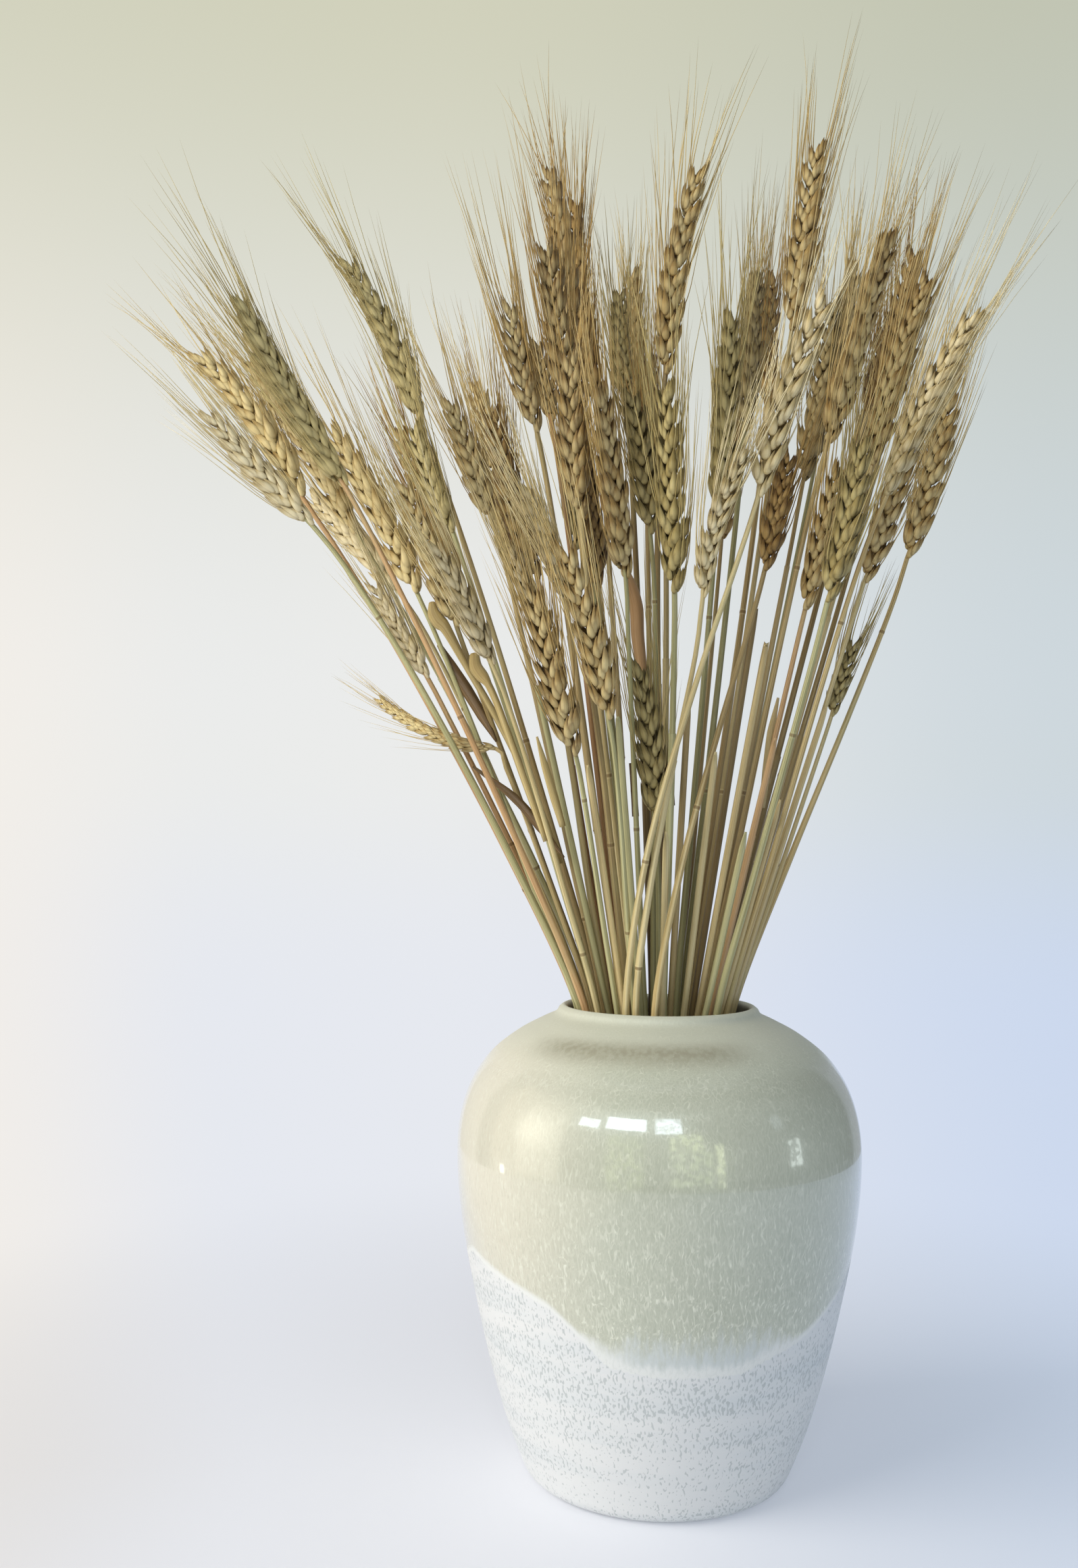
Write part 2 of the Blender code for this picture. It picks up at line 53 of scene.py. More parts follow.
# where the ear starts (across, up), where it ends, depth of both behind the plane, and the look
stalks = [
    (-171, 455, -218, 504, -22, -35, "pale"), (-176, 469, -223, 534, 6, 12, "gold"),
    (-155, 474, -204, 557, -28, -42, "green"), (-149, 451, -200, 530, 26, 34, "gold"),
    (-119, 422, -157, 495, 4, 10, "gold"), (-130, 424, -167, 465, 34, 56, "pale"),
    (-115, 380, -138, 421, 8, 14, "pale"), (-119, 507, -152, 580, 12, 8, "green"),
    (-102, 452, -119, 498, -32, -44, "green"), (-99, 431, -127, 497, 42, 64, "brown"),
    (-101, 405, -124, 469, -4, -8, "gold"), (-82, 387, -108, 439, -42, -62, "pale"),
    (-83, 458, -102, 510, -12, -14, "gold"), (-60, 429, -82, 505, 30, 52, "brown"),
    (-41, 343, -60, 416, -56, -78, "gold"), (-25, 361, -45, 437, -76, -100, "gold"),
    (-55, 395, -71, 439, -22, -32, "pale"), (-61, 502, -74, 558, -34, -50, "gold"),
    (-54, 507, -61, 541, 34, 44, "gold"), (-45, 549, -55, 627, 20, 30, "gold"),
    (-47, 519, -56, 588, -16, -22, "gold"), (-32, 516, -43, 610, 62, 86, "brown"),
    (-17, 430, -29, 516, -50, -66, "gold"), (-17, 519, -21, 566, 60, 80, "green"),
    (-5, 452, -14, 514, -28, -42, "green"), (2, 531, 16, 626, -18, -30, "gold"),
    (7, 423, 3, 516, -62, -86, "green"), (1, 471, -6, 532, 36, 52, "brown"),
    (-2, 311, -12, 379, -30, -40, "green"), (28, 463, 34, 551, -24, -34, "green"),
    (41, 503, 46, 575, 30, 42, "grey"), (52, 516, 54, 573, 64, 90, "brown"),
    (64, 553, 76, 638, 6, 12, "gold"), (46, 471, 77, 561, -80, -106, "pale"),
    (82, 498, 110, 593, -34, -44, "gold"), (70, 479, 84, 560, 22, 36, "grey"),
    (101, 513, 112, 557, 48, 62, "brown"), (104, 487, 129, 573, -14, -20, "gold"),
    (111, 510, 123, 586, 32, 46, "brown"), (111, 472, 150, 554, -44, -58, "pale"),
    (121, 441, 143, 530, 26, 40, "gold"), (100, 429, 122, 498, -8, -14, "gold"),
    (71, 415, 86, 478, -38, -48, "gold"), (82, 419, 98, 490, -64, -80, "green"),
    (51, 434, 62, 486, -20, -14, "brown"), (31, 421, 40, 486, -68, -88, "pale"),
    (84, 363, 94, 395, 12, 14, "green"), (-80, 346, -135, 368, -8, 16, "gold"),
    (-43, 417, -64, 467, -66, -88, "pale"), (-39, 459, -44, 534, -44, -56, "gold"),
    (-32, 423, -39, 499, -2, 2, "brown"), (-42, 444, -46, 516, 50, 70, "green"),
    (79, 503, 94, 582, 72, 100, "gold"), (-76, 440, -90, 520, 76, 108, "gold"),
    (-8, 490, -14, 575, 88, 122, "gold"), (30, 450, 36, 530, 82, 118, "brown"),
    (88, 440, 104, 515, 72, 100, "gold"),
]
mouthPlaces = {33: (-17, -38), 45: (-12, -36.5), 44: (-7, -38)}  # straws that cross in front
earLean = 0.5
sharpNecks = {47: 0.10}
earBows = {47: (0, -5), 7: (3, 1), 25: (-3, 0), 33: (-2, 1), 1: (4, 1)}
bow = 0.025
slimEars = {47: 0.6, 46: 0.85, 45: 0.85, 6: 0.8}
innerHeights = (9.6, 108, 178, vaseHeight + 2)
innerScale = (1.05, 0.74, 0.8, 1.0)
innerTurn = (44, 22, 6, 0)
innerReach = (49, 60, 38, mouthRadius - strawRadius * 1.15 - 0.5)
fanApex = 112
strawKnots = (0.28, 0.55, 0.8)
earStart = len(innerHeights) + len(strawKnots)
mouthSpacing = 7.0
fanPull = 0.6
rounds = 260
settlingShare = 0.75
pairMargin = 24
earRoom = (0.42, 0.5, 0.34)
seeds = {"bow": 100, "turn": 300, "thickness": 500, "width": 700, "straw": 1100, "ear": 1300}
mostTurn = 48


def drawFor(what, row):
    return random.Random(seeds[what] + row)


def onSightLine(across, up, depth):
    reach = (depth - eye[1]) / -eye[1]
    return np.array([eye[0] + (across - eye[0]) * reach, depth, eye[2] + (up - eye[2]) * reach])


def within(point, reach):
    return point * min(1, reach / max(np.linalg.norm(point), 1e-6))


def spreadMouth(places):  # the straws' places in the mouth, moved apart
    places = np.array(places, float)
    for _ in range(200):
        offset = places[:, None] - places[None]
        distance = np.linalg.norm(offset, axis=2) + np.eye(len(places)) * 1e3
        lack = np.clip(mouthSpacing - distance, 0, None)
        places += 0.35 * (offset / distance[..., None] * lack[..., None]).sum(axis=1)
        places = np.array([within(p, innerReach[3]) for p in places])
    return places


def turned(place, degrees, scale):
    angle = math.radians(degrees)
    x, y = place
    return np.array([x * math.cos(angle) - y * math.sin(angle),
                     x * math.sin(angle) + y * math.cos(angle)]) * scale


def earMiddle(row, start, end):
    draw = drawFor("bow", row)
    slack = bow * np.linalg.norm(end - start)
    across, up = earBows.get(row, (draw.uniform(-slack, slack), 0))
    return (start + end) / 2 + (across, draw.uniform(-slack, slack), up)


def firstRoutes():  # knots inside the vase, up the straw, then ear start, middle and end
    ears = [(onSightLine(a, b, e), onSightLine(c, d, f)) for a, b, c, d, e, f, _ in stalks]
    mouthHeight = innerHeights[3]
    wanted = [within(start[:2] / (start[2] - fanApex) * (mouthHeight - fanApex), innerReach[3] - 1)
              for start, _ in ears]
    for row, place in mouthPlaces.items():
        wanted[row] = np.array(place, float)
    routes = []
    for row, (place, (start, end)) in enumerate(zip(spreadMouth(wanted), ears)):
        knots = [np.append(within(turned(place, turn, scale), reach), height) for turn, scale, reach, height
                 in zip(innerTurn, innerScale, innerReach, innerHeights)]
        mouth = knots[-1]
        span = np.linalg.norm(start - mouth)
        fan = np.array([place[0], place[1], mouthHeight - fanApex])
        leave = fan / np.linalg.norm(fan) * span * fanPull + (start - mouth) * (1 - fanPull)
        arrive = (end - start) / np.linalg.norm(end - start) * span * sharpNecks.get(row, earLean)
        for t in strawKnots:
            knots.append((2 * t ** 3 - 3 * t ** 2 + 1) * mouth + (t ** 3 - 2 * t ** 2 + t) * leave
                         + (3 * t ** 2 - 2 * t ** 3) * start + (t ** 3 - t ** 2) * arrive)
        routes.append(knots + [start, earMiddle(row, start, end), end])
    return np.array(routes)


def thickness(row):
    return drawFor("thickness", row).uniform(0.86, 1.12)


def earWidth(row, length):
    share = min(1.0, 0.62 + 0.38 * length / 80) * drawFor("width", row).uniform(0.94, 1.06)
    return earWidthFull * share * slimEars.get(row, 1)


def knotRadii(routes):
    radii = np.zeros(routes.shape[:2])
    for row, radius in enumerate(radii):
        radius[:earStart] = np.linspace(strawRadius, neckRadius, earStart) * thickness(row)
        earLength = np.linalg.norm(routes[row, -1] - routes[row, earStart])
        radius[earStart:] = np.array(earRoom) * earWidth(row, earLength)
    return radii


def nearest(a, b, c, d):  # shares along a-b and c-d of their nearest points
    first, second, between = b - a, d - c, a - c
    aa = (first * first).sum(-1)
    bb = (second * second).sum(-1)
    ab = (first * second).sum(-1)
    ac = (first * between).sum(-1)
    bc = (second * between).sum(-1)
    s = np.clip((ab * bc - ac * bb) / np.maximum(aa * bb - ab * ab, 1e-9), 0, 1)
    t = np.clip((ab * s + bc) / bb, 0, 1)
    return np.clip((ab * t - ac) / aa, 0, 1), t


def closePairs(routes, margin):
    count, knots = routes.shape[:2]
    middle = (routes[:, 1:] + routes[:, :-1]).reshape(-1, 3) / 2
    half = np.linalg.norm(routes[:, 1:] - routes[:, :-1], axis=2).reshape(-1) / 2
    owner, segment = np.divmod(np.arange(count * (knots - 1)), knots - 1)
    first, second = np.triu_indices(len(middle), 1)
    reach = half[first] + half[second] + margin
    close = np.linalg.norm(middle[first] - middle[second], axis=1) < reach
    near = close & (owner[first] != owner[second])
    first, second = first[near], second[near]
    return owner[first], segment[first], owner[second], segment[second]


def clearRoutes(routes, radii):  # bends the stalks apart until none touches another
    start = routes.copy()
    for turn in range(rounds):
        if turn % 10 == 0:
            i, p, j, q = closePairs(routes, pairMargin)
        s, t = nearest(routes[i, p], routes[i, p + 1], routes[j, q], routes[j, q + 1])
        s, t = s[:, None], t[:, None]
        apart = (routes[i, p] * (1 - s) + routes[i, p + 1] * s
                 - routes[j, q] * (1 - t) - routes[j, q + 1] * t)
        distance = np.linalg.norm(apart, axis=1, keepdims=True)
        need = (np.maximum(radii[i, p], radii[i, p + 1]) + np.maximum(radii[j, q], radii[j, q + 1])
                + clearance)
        lack = np.clip(need[:, None] * 1.02 - distance, 0, None)
        level = apart * (1, 1, 0) + (0, 1e-4, 0)
        push = level / np.linalg.norm(level, axis=1, keepdims=True) * lack * 0.5
        moved, hits = np.zeros_like(routes), np.zeros(routes.shape[:2])
        for stalk, knot, share, sign in ((i, p, s, 1), (j, q, t, -1)):
            spread = (1 - share) ** 2 + share ** 2
            for step, weight in ((0, 1 - share), (1, share)):
                np.add.at(moved, (stalk, knot + step), sign * push * weight / spread)
                np.add.at(hits, (stalk, knot + step), (lack * weight > 0)[:, 0])
        routes = routes + moved / np.maximum(hits, 1)[..., None] ** 0.6
        if turn < rounds * settlingShare:
            shift = routes - start
            shift[:, 1:earStart] += 0.25 * ((shift[:, :earStart - 1] + shift[:, 2:earStart + 1]) / 2
                                            - shift[:, 1:earStart])
            shift[:, earStart:] *= 0.97
            routes = start + shift
        routes[:, :len(innerHeights), 2] = innerHeights
        for knot, reach in enumerate(innerReach):
            away = np.linalg.norm(routes[:, knot, :2], axis=1, keepdims=True)
            routes[:, knot, :2] *= np.minimum(1, reach / np.maximum(away, 1e-6))
    return routes


# Node trees

class Wire:  # a socket of a node tree; sums on it add Math nodes
    def __init__(self, graph, socket):
        self.graph = graph
        self.socket = socket

    def out(self, name):
        return Wire(self.graph, pick(self.socket.node.outputs, name))

    def math(self, operation, *others):
        values = dict(enumerate((self, *others)))
        return self.graph.add("ShaderNodeMath", {"operation": operation}, values)

    def __add__(self, other):
        return self.math("ADD", other)

    __radd__ = __add__

    def __mul__(self, other):
        return self.math("MULTIPLY", other)

    __rmul__ = __mul__

    def __sub__(self, other):
        return self.math("SUBTRACT", other)

    def __rsub__(self, other):
        return self.graph.add("ShaderNodeMath", {"operation": "SUBTRACT"}, {0: other, 1: self})

    def __truediv__(self, other):
        return self.math("DIVIDE", other)

    def __pow__(self, other):
        return self.math("POWER", other)

    def __abs__(self):
        return self.math("ABSOLUTE")

    def over(self, low, high):  # 0 below low, 1 above high, smooth between
        return self.graph.add("ShaderNodeMapRange", {"interpolation_type": "SMOOTHSTEP"},
                              {"Value": self, "From Min": low, "From Max": high})

    def under(self, low, high):  # 1 below low, 0 above high
        return 1 - self.over(low, high)


def pick(sockets, key):
    if isinstance(key, int):
        return [s for s in sockets if s.enabled][key]
    return next(s for s in sockets if s.enabled and key in (s.name, s.identifier))


def hypotenuse(x, y):
    return (x * x + y * y).math("SQRT")


class Graph:  # adds nodes to a tree: type, settings, then values or links of its sockets
    def __init__(self, tree):
        self.tree = tree

    def add(self, kind, settings=None, values=None, output=0):
        node = self.tree.nodes.new(kind)
        for name, value in (settings or {}).items():
            if name == "stops":
                self.setStops(node.color_ramp, value)
            else:
                setattr(node, name, value)
        for key, value in (values or {}).items():
            socket = pick(node.inputs, key)
            if isinstance(value, Wire):
                self.tree.links.new(value.socket, socket)
            else:
                socket.default_value = value
        return Wire(self, pick(node.outputs, output))

    def setStops(self, ramp, stops):
        while len(ramp.elements) < len(stops):
            ramp.elements.new(0.5)
        for element, (place, colour) in zip(ramp.elements, stops):
            element.position = place
            element.color = (*colour, 1)

    def mix(self, factor, first, second):
        return self.add("ShaderNodeMix", {"data_type": "RGBA"},
                        {"Factor": factor, "A": opaque(first), "B": opaque(second)})

    def layered(self, colour, *layers):  # masks and the colours that they let over the first
        for mask, over in layers:
            colour = self.mix(mask, colour, over)
        return colour

    def scaled(self, vector, factors):
        return self.add("ShaderNodeVectorMath", {"operation": "MULTIPLY"}, {0: vector, 1: factors})

    def noise(self, vector, scale, detail=2.0, roughness=0.5):
        return self.add("ShaderNodeTexNoise", {}, {"Vector": vector, "Scale": scale, "Detail": detail,
                                                   "Roughness": roughness})

    def attribute(self, name, output="Fac"):
        return self.add("ShaderNodeAttribute", {"attribute_name": name}, output=output)

    def place(self):
        return self.add("ShaderNodeTexCoord", output="Object")

    def parts(self, vector):
        x = self.add("ShaderNodeSeparateXYZ", {}, {0: vector})
        return x, x.out("Y"), x.out("Z")

    def combined(self, x=0.0, y=0.0, z=0.0):
        return self.add("ShaderNodeCombineXYZ", {}, {0: x, 1: y, 2: z})

    def bump(self, strength, distance, height):
        return self.add("ShaderNodeBump", {}, {"Strength": strength, "Distance": distance, "Height": height})


def opaque(colour):
    return colour if isinstance(colour, Wire) else (*colour, 1)


def linear(colour):  # a screen colour, 0 to 255, as the shader's own; or a row or dictionary of them
    if isinstance(colour, dict):
        return {name: linear(row) for name, row in colour.items()}
    if isinstance(colour[0], tuple):
        return tuple(linear(one) for one in colour)
    return tuple((c / 255 / 12.92) if c < 11 else ((c / 255 + 0.055) / 1.055) ** 2.4 for c in colour)


def newMaterial(name, shine):
    material = bpy.data.materials.new(name)
    material.use_nodes = True
    shader = material.node_tree.nodes["Principled BSDF"]
    for socket, value in shine.items():
        shader.inputs[socket].default_value = value
    return material, Graph(material.node_tree), shader


def plug(graph, shader, **wires):
    for name, wire in wires.items():
        graph.tree.links.new(wire.socket, shader.inputs[name.replace("_", " ")])


# Meshes

def newObject(name, data):
    thing = bpy.data.objects.new(name, data)
    bpy.context.scene.collection.objects.link(thing)
    return thing


def addMesh(name, points, faces=(), materials=(), edges=()):
    mesh = bpy.data.meshes.new(name)
    mesh.from_pydata([tuple(p) for p in points], list(edges), list(faces))
    for material in materials:
        mesh.materials.append(material)
    mesh.shade_smooth()
    return newObject(name, mesh)


def storeVector(mesh, name, values):
    attribute = mesh.attributes.new(name, "FLOAT_VECTOR", "POINT")
    attribute.data.foreach_set("vector", np.array(values, np.float32).reshape(-1))


def storeFloat(mesh, name, values):
    attribute = mesh.attributes.new(name, "FLOAT", "POINT")
    attribute.data.foreach_set("value", np.array(values, np.float32))


def circle(sides):  # angle, cosine and sine at each side
    return [(a, math.cos(a), math.sin(a)) for a in (2 * math.pi * side / sides for side in range(sides))]


def ringFaces(rings, sides, start=0):
    at = lambda r, s: start + r * sides + s % sides
    return [(at(r, s), at(r, s + 1), at(r + 1, s + 1), at(r + 1, s))
            for r in range(rings - 1) for s in range(sides)]


def spindleFaces(rings, sides, start=0):  # a pole, rings and a second pole
    low = start + 1
    high = low + (rings - 1) * sides
    faces = [(start, low + (s + 1) % sides, low + s) for s in range(sides)] + ringFaces(rings, sides, low)
    return faces + [(high + sides, high + s, high + (s + 1) % sides) for s in range(sides)]


def smoothThrough(points, steps, stepLength=math.inf, after=None):
    # a curve through the points, with so many steps to a span, or more where it is long
    points = np.array(points, float)
    ends = 2 * points[0] - points[1], 2 * points[-1] - points[-2] if after is None else after
    line = np.vstack([ends[0], points, ends[1]])
    made = []
    for a, b, c, d in zip(line, line[1:], line[2:], line[3:]):
        count = max(steps, round(np.linalg.norm(c - b) / stepLength))
        for t in np.arange(count) / count:
            made.append(0.5 * (2 * b + (c - a) * t + (2 * a - 5 * b + 4 * c - d) * t ** 2
                               + (3 * b - a - 3 * c + d) * t ** 3))
    return np.array(made + [points[-1]])


def lengths(line):  # how far along the line each point is
    return np.concatenate([[0], np.cumsum(np.linalg.norm(np.diff(line, axis=0), axis=1))])


# Vase

vase = {
    "foot": [(0, 0), (52, 0), (56, 0)],
    "outline": [(58, 0), (62.5, 3), (66, 10), (72.5, 27), (80, 52), (88, 86), (94.5, 120), (97, 148),
                (95.8, 168), (90.5, 185), (81.5, 198), (69, 208), (57.5, 214.3), (50.2, 217.8)],
    "lip": [(48.1, 220.6), (46, 222), (44.1, 220.8), (43.5, 218), (43.5, 213)],
    "inside": [(63, 205.6), (84.5, 182.6), (91, 145.6), (82, 83.6), (66.5, 24.6), (60, 15), (52, 9)],
    "floor": (0, 9),
    "sides": 160,
    "steps": (7, 3, 5),  # to a span of the outline, lip and inside
    # lower edge of the sage glaze: angle from the front, to the right (+) or left (-), and height
    "edge": [(-180, 96), (-150, 84), (-120, 82), (-95, 98), (-70, 112), (-45, 103), (-35, 99), (-27, 89),
             (-18, 77), (-6, 74), (22, 74.5), (36, 81), (48, 87), (67, 104), (88, 110), (108, 96), (130, 80),
             (155, 84), (180, 96)],
    "edgeScale": 200,
    "band": (200.5, 208.5, 213.5),  # where the brown band starts, is strongest and ends
}
glaze = linear({
    "sage": (190, 194, 175),
    "sageDeep": (167, 171, 150),
    "cream": (219, 213, 194),
    "neck": (197, 198, 180),
    "fleck": (226, 228, 210),
    "shadow": (158, 162, 140),
    "brownBand": (142, 137, 114),
    "drip": (196, 204, 202),
    "milk": (229, 231, 226),
    "white": (226, 227, 225),
    "whiteCool": (207, 214, 216),
    "speckle": (156, 165, 164),
    "inside": (110, 106, 88),
})


def onEdge(graph, angle):  # height of the sage glaze's lower edge at an angle, in millimetres
    scale = vase["edgeScale"]
    stops = [(degrees / 360 + 0.5, (height / scale,) * 3) for degrees, height in vase["edge"]]
    return graph.add("ShaderNodeValToRGB", {"stops": stops}, {"Fac": angle / (2 * math.pi) + 0.5}) * scale


def cracks(graph, vector, scale, width):  # 1 along the borders of stretched cells
    found = graph.add("ShaderNodeTexVoronoi", {"feature": "DISTANCE_TO_EDGE"},
                      {"Vector": vector, "Scale": scale})
    return found.under(width * 0.3, width)


def glazeMaterial():
    material, graph, shader = newMaterial("stonewareGlaze", {"Coat Roughness": 0.03, "Coat IOR": 1.55})
    place = graph.place()
    x, y, z = graph.parts(place)
    height = z * 1000
    angle = x.math("ARCTAN2", y * -1)
    # the sage glaze ends in lobes on a thin pale rim; at the front it runs out in milky drips above it
    front = abs(angle - 0.12).under(0.26, 0.62)
    drips = graph.noise(graph.scaled(place, (1, 1, 0.07)), 420, 3, 0.6) - 0.5
    above = height - onEdge(graph, angle) + (graph.noise(place, 42) - 0.5) * 4
    sageMask = (above + drips * (2 + front * 24)).over(0.2 + front * 2.8, 3.6 + front * 18)
    rimMask = (above + drips * 3).over(-1.4, -0.2)
    # texture of the sage glaze: a wavy net of fine upright cracks, and strokes that grow closer low down
    wave = (graph.noise(place, 120) - 0.5) * 0.004
    sway = graph.combined(wave, wave)
    swayed = graph.add("ShaderNodeVectorMath", {"operation": "ADD"}, {0: place, 1: sway})
    low = height.under(85, 185)
    broken = graph.noise(graph.scaled(place, (1, 1, 0.5)), 230)
    net = cracks(graph, graph.scaled(swayed, (1, 1, 0.16)), 480, 0.13) * broken.over(0.46, 0.64)
    fine = cracks(graph, graph.scaled(swayed, (1, 1, 0.22)), 1000, 0.2) * broken.under(0.4, 0.6)
    strokeNoise = graph.noise(graph.scaled(swayed, (1, 1, 0.22)), 980, 1)
    strokes = strokeNoise.over(0.60 - 0.04 * low, 0.74 - 0.03 * low)
    cloud = graph.noise(place, 11, 3)
    rings = graph.noise(graph.scaled(place, (0.25, 0.25, 3)), 26, 3)
    deep = cloud.over(0.35, 0.7) * 0.4 + low * 0.2 + rings.over(0.45, 0.75) * 0.25
    pale = net * (0.32 + 0.14 * low) + fine * 0.2 + strokes * (0.24 + 0.36 * low)
    # brownish band on the shoulder, and the pale, drier neck
    start, middle, end = vase["band"]
    bandMask = height.over(start, middle) * height.under(middle, end) * abs(angle + 0.23).under(0.45, 0.95)
    streaks = graph.noise(graph.scaled(place, (1, 1, 0.1)), 420)
    body = graph.layered(glaze["sage"],
                         (deep.math("MINIMUM", 1.0), glaze["sageDeep"]),
                         # painted light: the left side, where the light falls, is creamier and lighter
                         ((x * -1).over(0.015, 0.085) * 0.8, glaze["cream"]),
                         (strokeNoise.under(0.30, 0.44) * (0.1 + 0.16 * low), glaze["shadow"]),
                         (pale.math("MINIMUM", 0.9), glaze["fleck"]),
                         (height.over(199, 214) * 0.6, glaze["neck"]),
                         (bandMask * (0.56 + streaks.over(0.35, 0.65) * 0.22), glaze["brownBand"]))
    # satin white foot with short upright grey dashes, in loose level bands
    dashes = graph.noise(graph.scaled(swayed, (1, 1, 0.4)), 1060, 0.5, 0.3)
    bands = graph.noise(graph.scaled(place, (0.35, 0.35, 3.2)), 26, 3)
    crowd = bands.over(0.32, 0.66) * 0.12 + height.over(0, 60) * 0.03 + x.over(-0.07, 0.03) * 0.03
    speckMask = (dashes + crowd).over(0.68, 0.77)
    milky = graph.mix((1 - front) * 0.8, glaze["drip"], glaze["milk"])
    # painted shade: the inside of the mouth is dark
    paintedInsideShade = hypotenuse(x, y).under(0.0434, 0.0446) * height.over(150, 218)
    colour = graph.layered(glaze["white"],
                           # cooler level bands, and painted shade that makes the foot cooler and darker to
                           # the right
                           (bands.over(0.4, 0.7) * 0.4 + x.over(-0.04, 0.08) * 0.3, glaze["whiteCool"]),
                           (speckMask * 0.52, glaze["speckle"]),
                           (rimMask * 0.8, glaze["milk"]),
                           (rimMask * (above + drips * 8).over(1.5, 6.0) * front * 0.75, milky),
                           (sageMask, body),
                           (paintedInsideShade, glaze["inside"]))
    # glossy sage, satin foot, drier neck
    gloss = sageMask * height.under(192, 204)
    rough = 0.42 - 0.2 * gloss + height.over(200, 212) * 0.15 + speckMask * 0.05
    relief = cloud * 0.5 + (net * 0.16 + strokes * 0.22 + fine * 0.05) * sageMask
    relief = relief - speckMask * (1 - sageMask) * 0.15
    plug(graph, shader, Base_Color=colour, Roughness=rough, Coat_Weight=gloss * 0.95 + 0.04,
         Normal=graph.bump(0.13, 0.001, relief))
    return material


def makeVase():
    outline, lip, inside = vase["outline"], vase["lip"], vase["inside"]
    runs = [smoothThrough(*run) for run in zip((outline + lip[:1], lip, lip[-1:] + inside), vase["steps"])]
    profile = np.vstack([vase["foot"], runs[0], runs[1][1:], runs[2][1:], vase["floor"]])
    rings, sides = profile[1:-1], vase["sides"]
    points = [(radius * c, radius * s, height) for radius, height in rings for _, c, s in circle(sides)]
    points = [(0, 0, profile[0][1])] + points + [(0, 0, profile[-1][1])]
    piece = addMesh("glazedVase", np.array(points) * mm, spindleFaces(len(rings), sides), [glazeMaterial()])
    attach(piece, "root")
    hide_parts("vase")


makeVase()
print("vase made")


# Finishes of straw and ears

looks = linear({  # ear colours: dark tips and ribs and painted shade in the gaps, body, pale parts and painted sunlight at the left, awns, and what patches tend to, which also tints the awns' painted shade
    "gold": ((84, 58, 20), (186, 154, 88), (228, 208, 150), (194, 170, 110), (162, 126, 62)),
    "pale": ((110, 86, 42), (211, 189, 132), (240, 226, 184), (213, 196, 144), (186, 160, 96)),
    "green": ((66, 54, 20), (160, 140, 80), (206, 189, 130), (172, 153, 98), (144, 122, 64)),
    "brown": ((58, 36, 9), (154, 114, 52), (206, 172, 106), (162, 131, 74), (122, 96, 44)),
    "grey": ((68, 52, 24), (156, 132, 76), (204, 184, 130), (166, 147, 96), (146, 120, 66)),
})
straws = linear({  # straw colours: dark streak, also painted shade inside the bunch, body, pale streak
    "paleStraw": ((136, 114, 66), (198, 178, 124), (224, 210, 162)),
    "greenStraw": ((92, 86, 44), (168, 162, 112), (204, 199, 152)),
    "pinkStraw": ((112, 74, 38), (190, 148, 98), (216, 184, 136)),
    "goldStraw": ((102, 74, 32), (192, 166, 108), (224, 207, 156)),
    "duskStraw": ((76, 54, 24), (154, 130, 80), (190, 169, 118)),
    "brownLeaf": ((58, 40, 20), (102, 78, 46), (142, 114, 72)),
    "paleLeaf": ((126, 100, 56), (176, 154, 98), (208, 190, 138)),
})
nodeColour = linear((112, 84, 46))


def innerShade(graph, place):  # 1 in the middle of the bunch's left and right halves, 0 at its outside
    x, y, _ = graph.parts(place)
    side = (abs(x - 0.02) - 0.07) * 14
    return hypotenuse(side, y * 8).under(0.2, 1.1) * (1 - x.over(0.0, 0.05) * 0.55)


def earMaterial(look):
    dark, body, light, _, cast = looks[look]
    material, graph, shader = newMaterial(look + "Ear", {"Specular IOR Level": 0.35, "Sheen Weight": 0.05})
    grain = graph.attribute("grain", "Vector")
    along = graph.parts(grain)[2]
    ribs = graph.noise(graph.scaled(grain, (4.5, 4.5, 0.5)), 1.0)
    place = graph.place()
    blotch = graph.noise(place, 260)
    # pale on the plump lower part; darker to the tip, partly as painted shade under the next spikelet;
    # painted shade in the creases and inside the bunch, and painted sunlight on the bunch's left side
    plump = along.over(0.0, 0.14) * along.under(0.34, 0.75)
    sunlit = graph.parts(place)[0].under(-0.16, 0.02)
    pale = graph.attribute("tone") * 0.3 + graph.attribute("shade") * 0.45 + ribs.over(0.35, 0.7) * 0.42
    pale = pale + blotch * 0.3 + plump * 0.65 + sunlit * 0.5 - 0.75
    pale = pale.math("MAXIMUM", 0.0).math("MINIMUM", 1.0)
    lines = ribs.under(0.3, 0.46) * along.over(0.2, 0.7)
    deep = along.over(0.4, 1.0) * 0.45 + graph.attribute("crease").over(0.1, 1.0) * 0.5 + lines * 0.55
    deep = deep * (1 - sunlit * 0.35) + innerShade(graph, place) * 0.42
    colour = graph.layered(body, (graph.noise(place, 38).over(0.4, 0.7) * 0.6, cast), (pale, light),
                           (deep.math("MINIMUM", 0.95), dark))
    plug(graph, shader, Base_Color=colour, Roughness=0.62 - ribs * 0.16,
         Normal=graph.bump(0.5, 0.0007, ribs))
    return material


def awnMaterial(look):
    dark, body, light, awnColour, cast = looks[look]
    material, graph, shader = newMaterial(look + "Awn", {"Specular IOR Level": 0.4})
    along = graph.parts(graph.attribute("grain", "Vector"))[2]
    tone = graph.attribute("tone")
    shaded = innerShade(graph, graph.place()) * (1 - along.over(0.3, 1.0) * 0.6) * 0.8
    colour = graph.layered(awnColour, (tone, light), (along.under(0.0, 0.5) * 0.4, body),
                           (along.over(0.6, 1.0) * 0.3, dark), (shaded, cast))
    plug(graph, shader, Base_Color=colour, Roughness=0.5 + tone * 0.1)
    return material


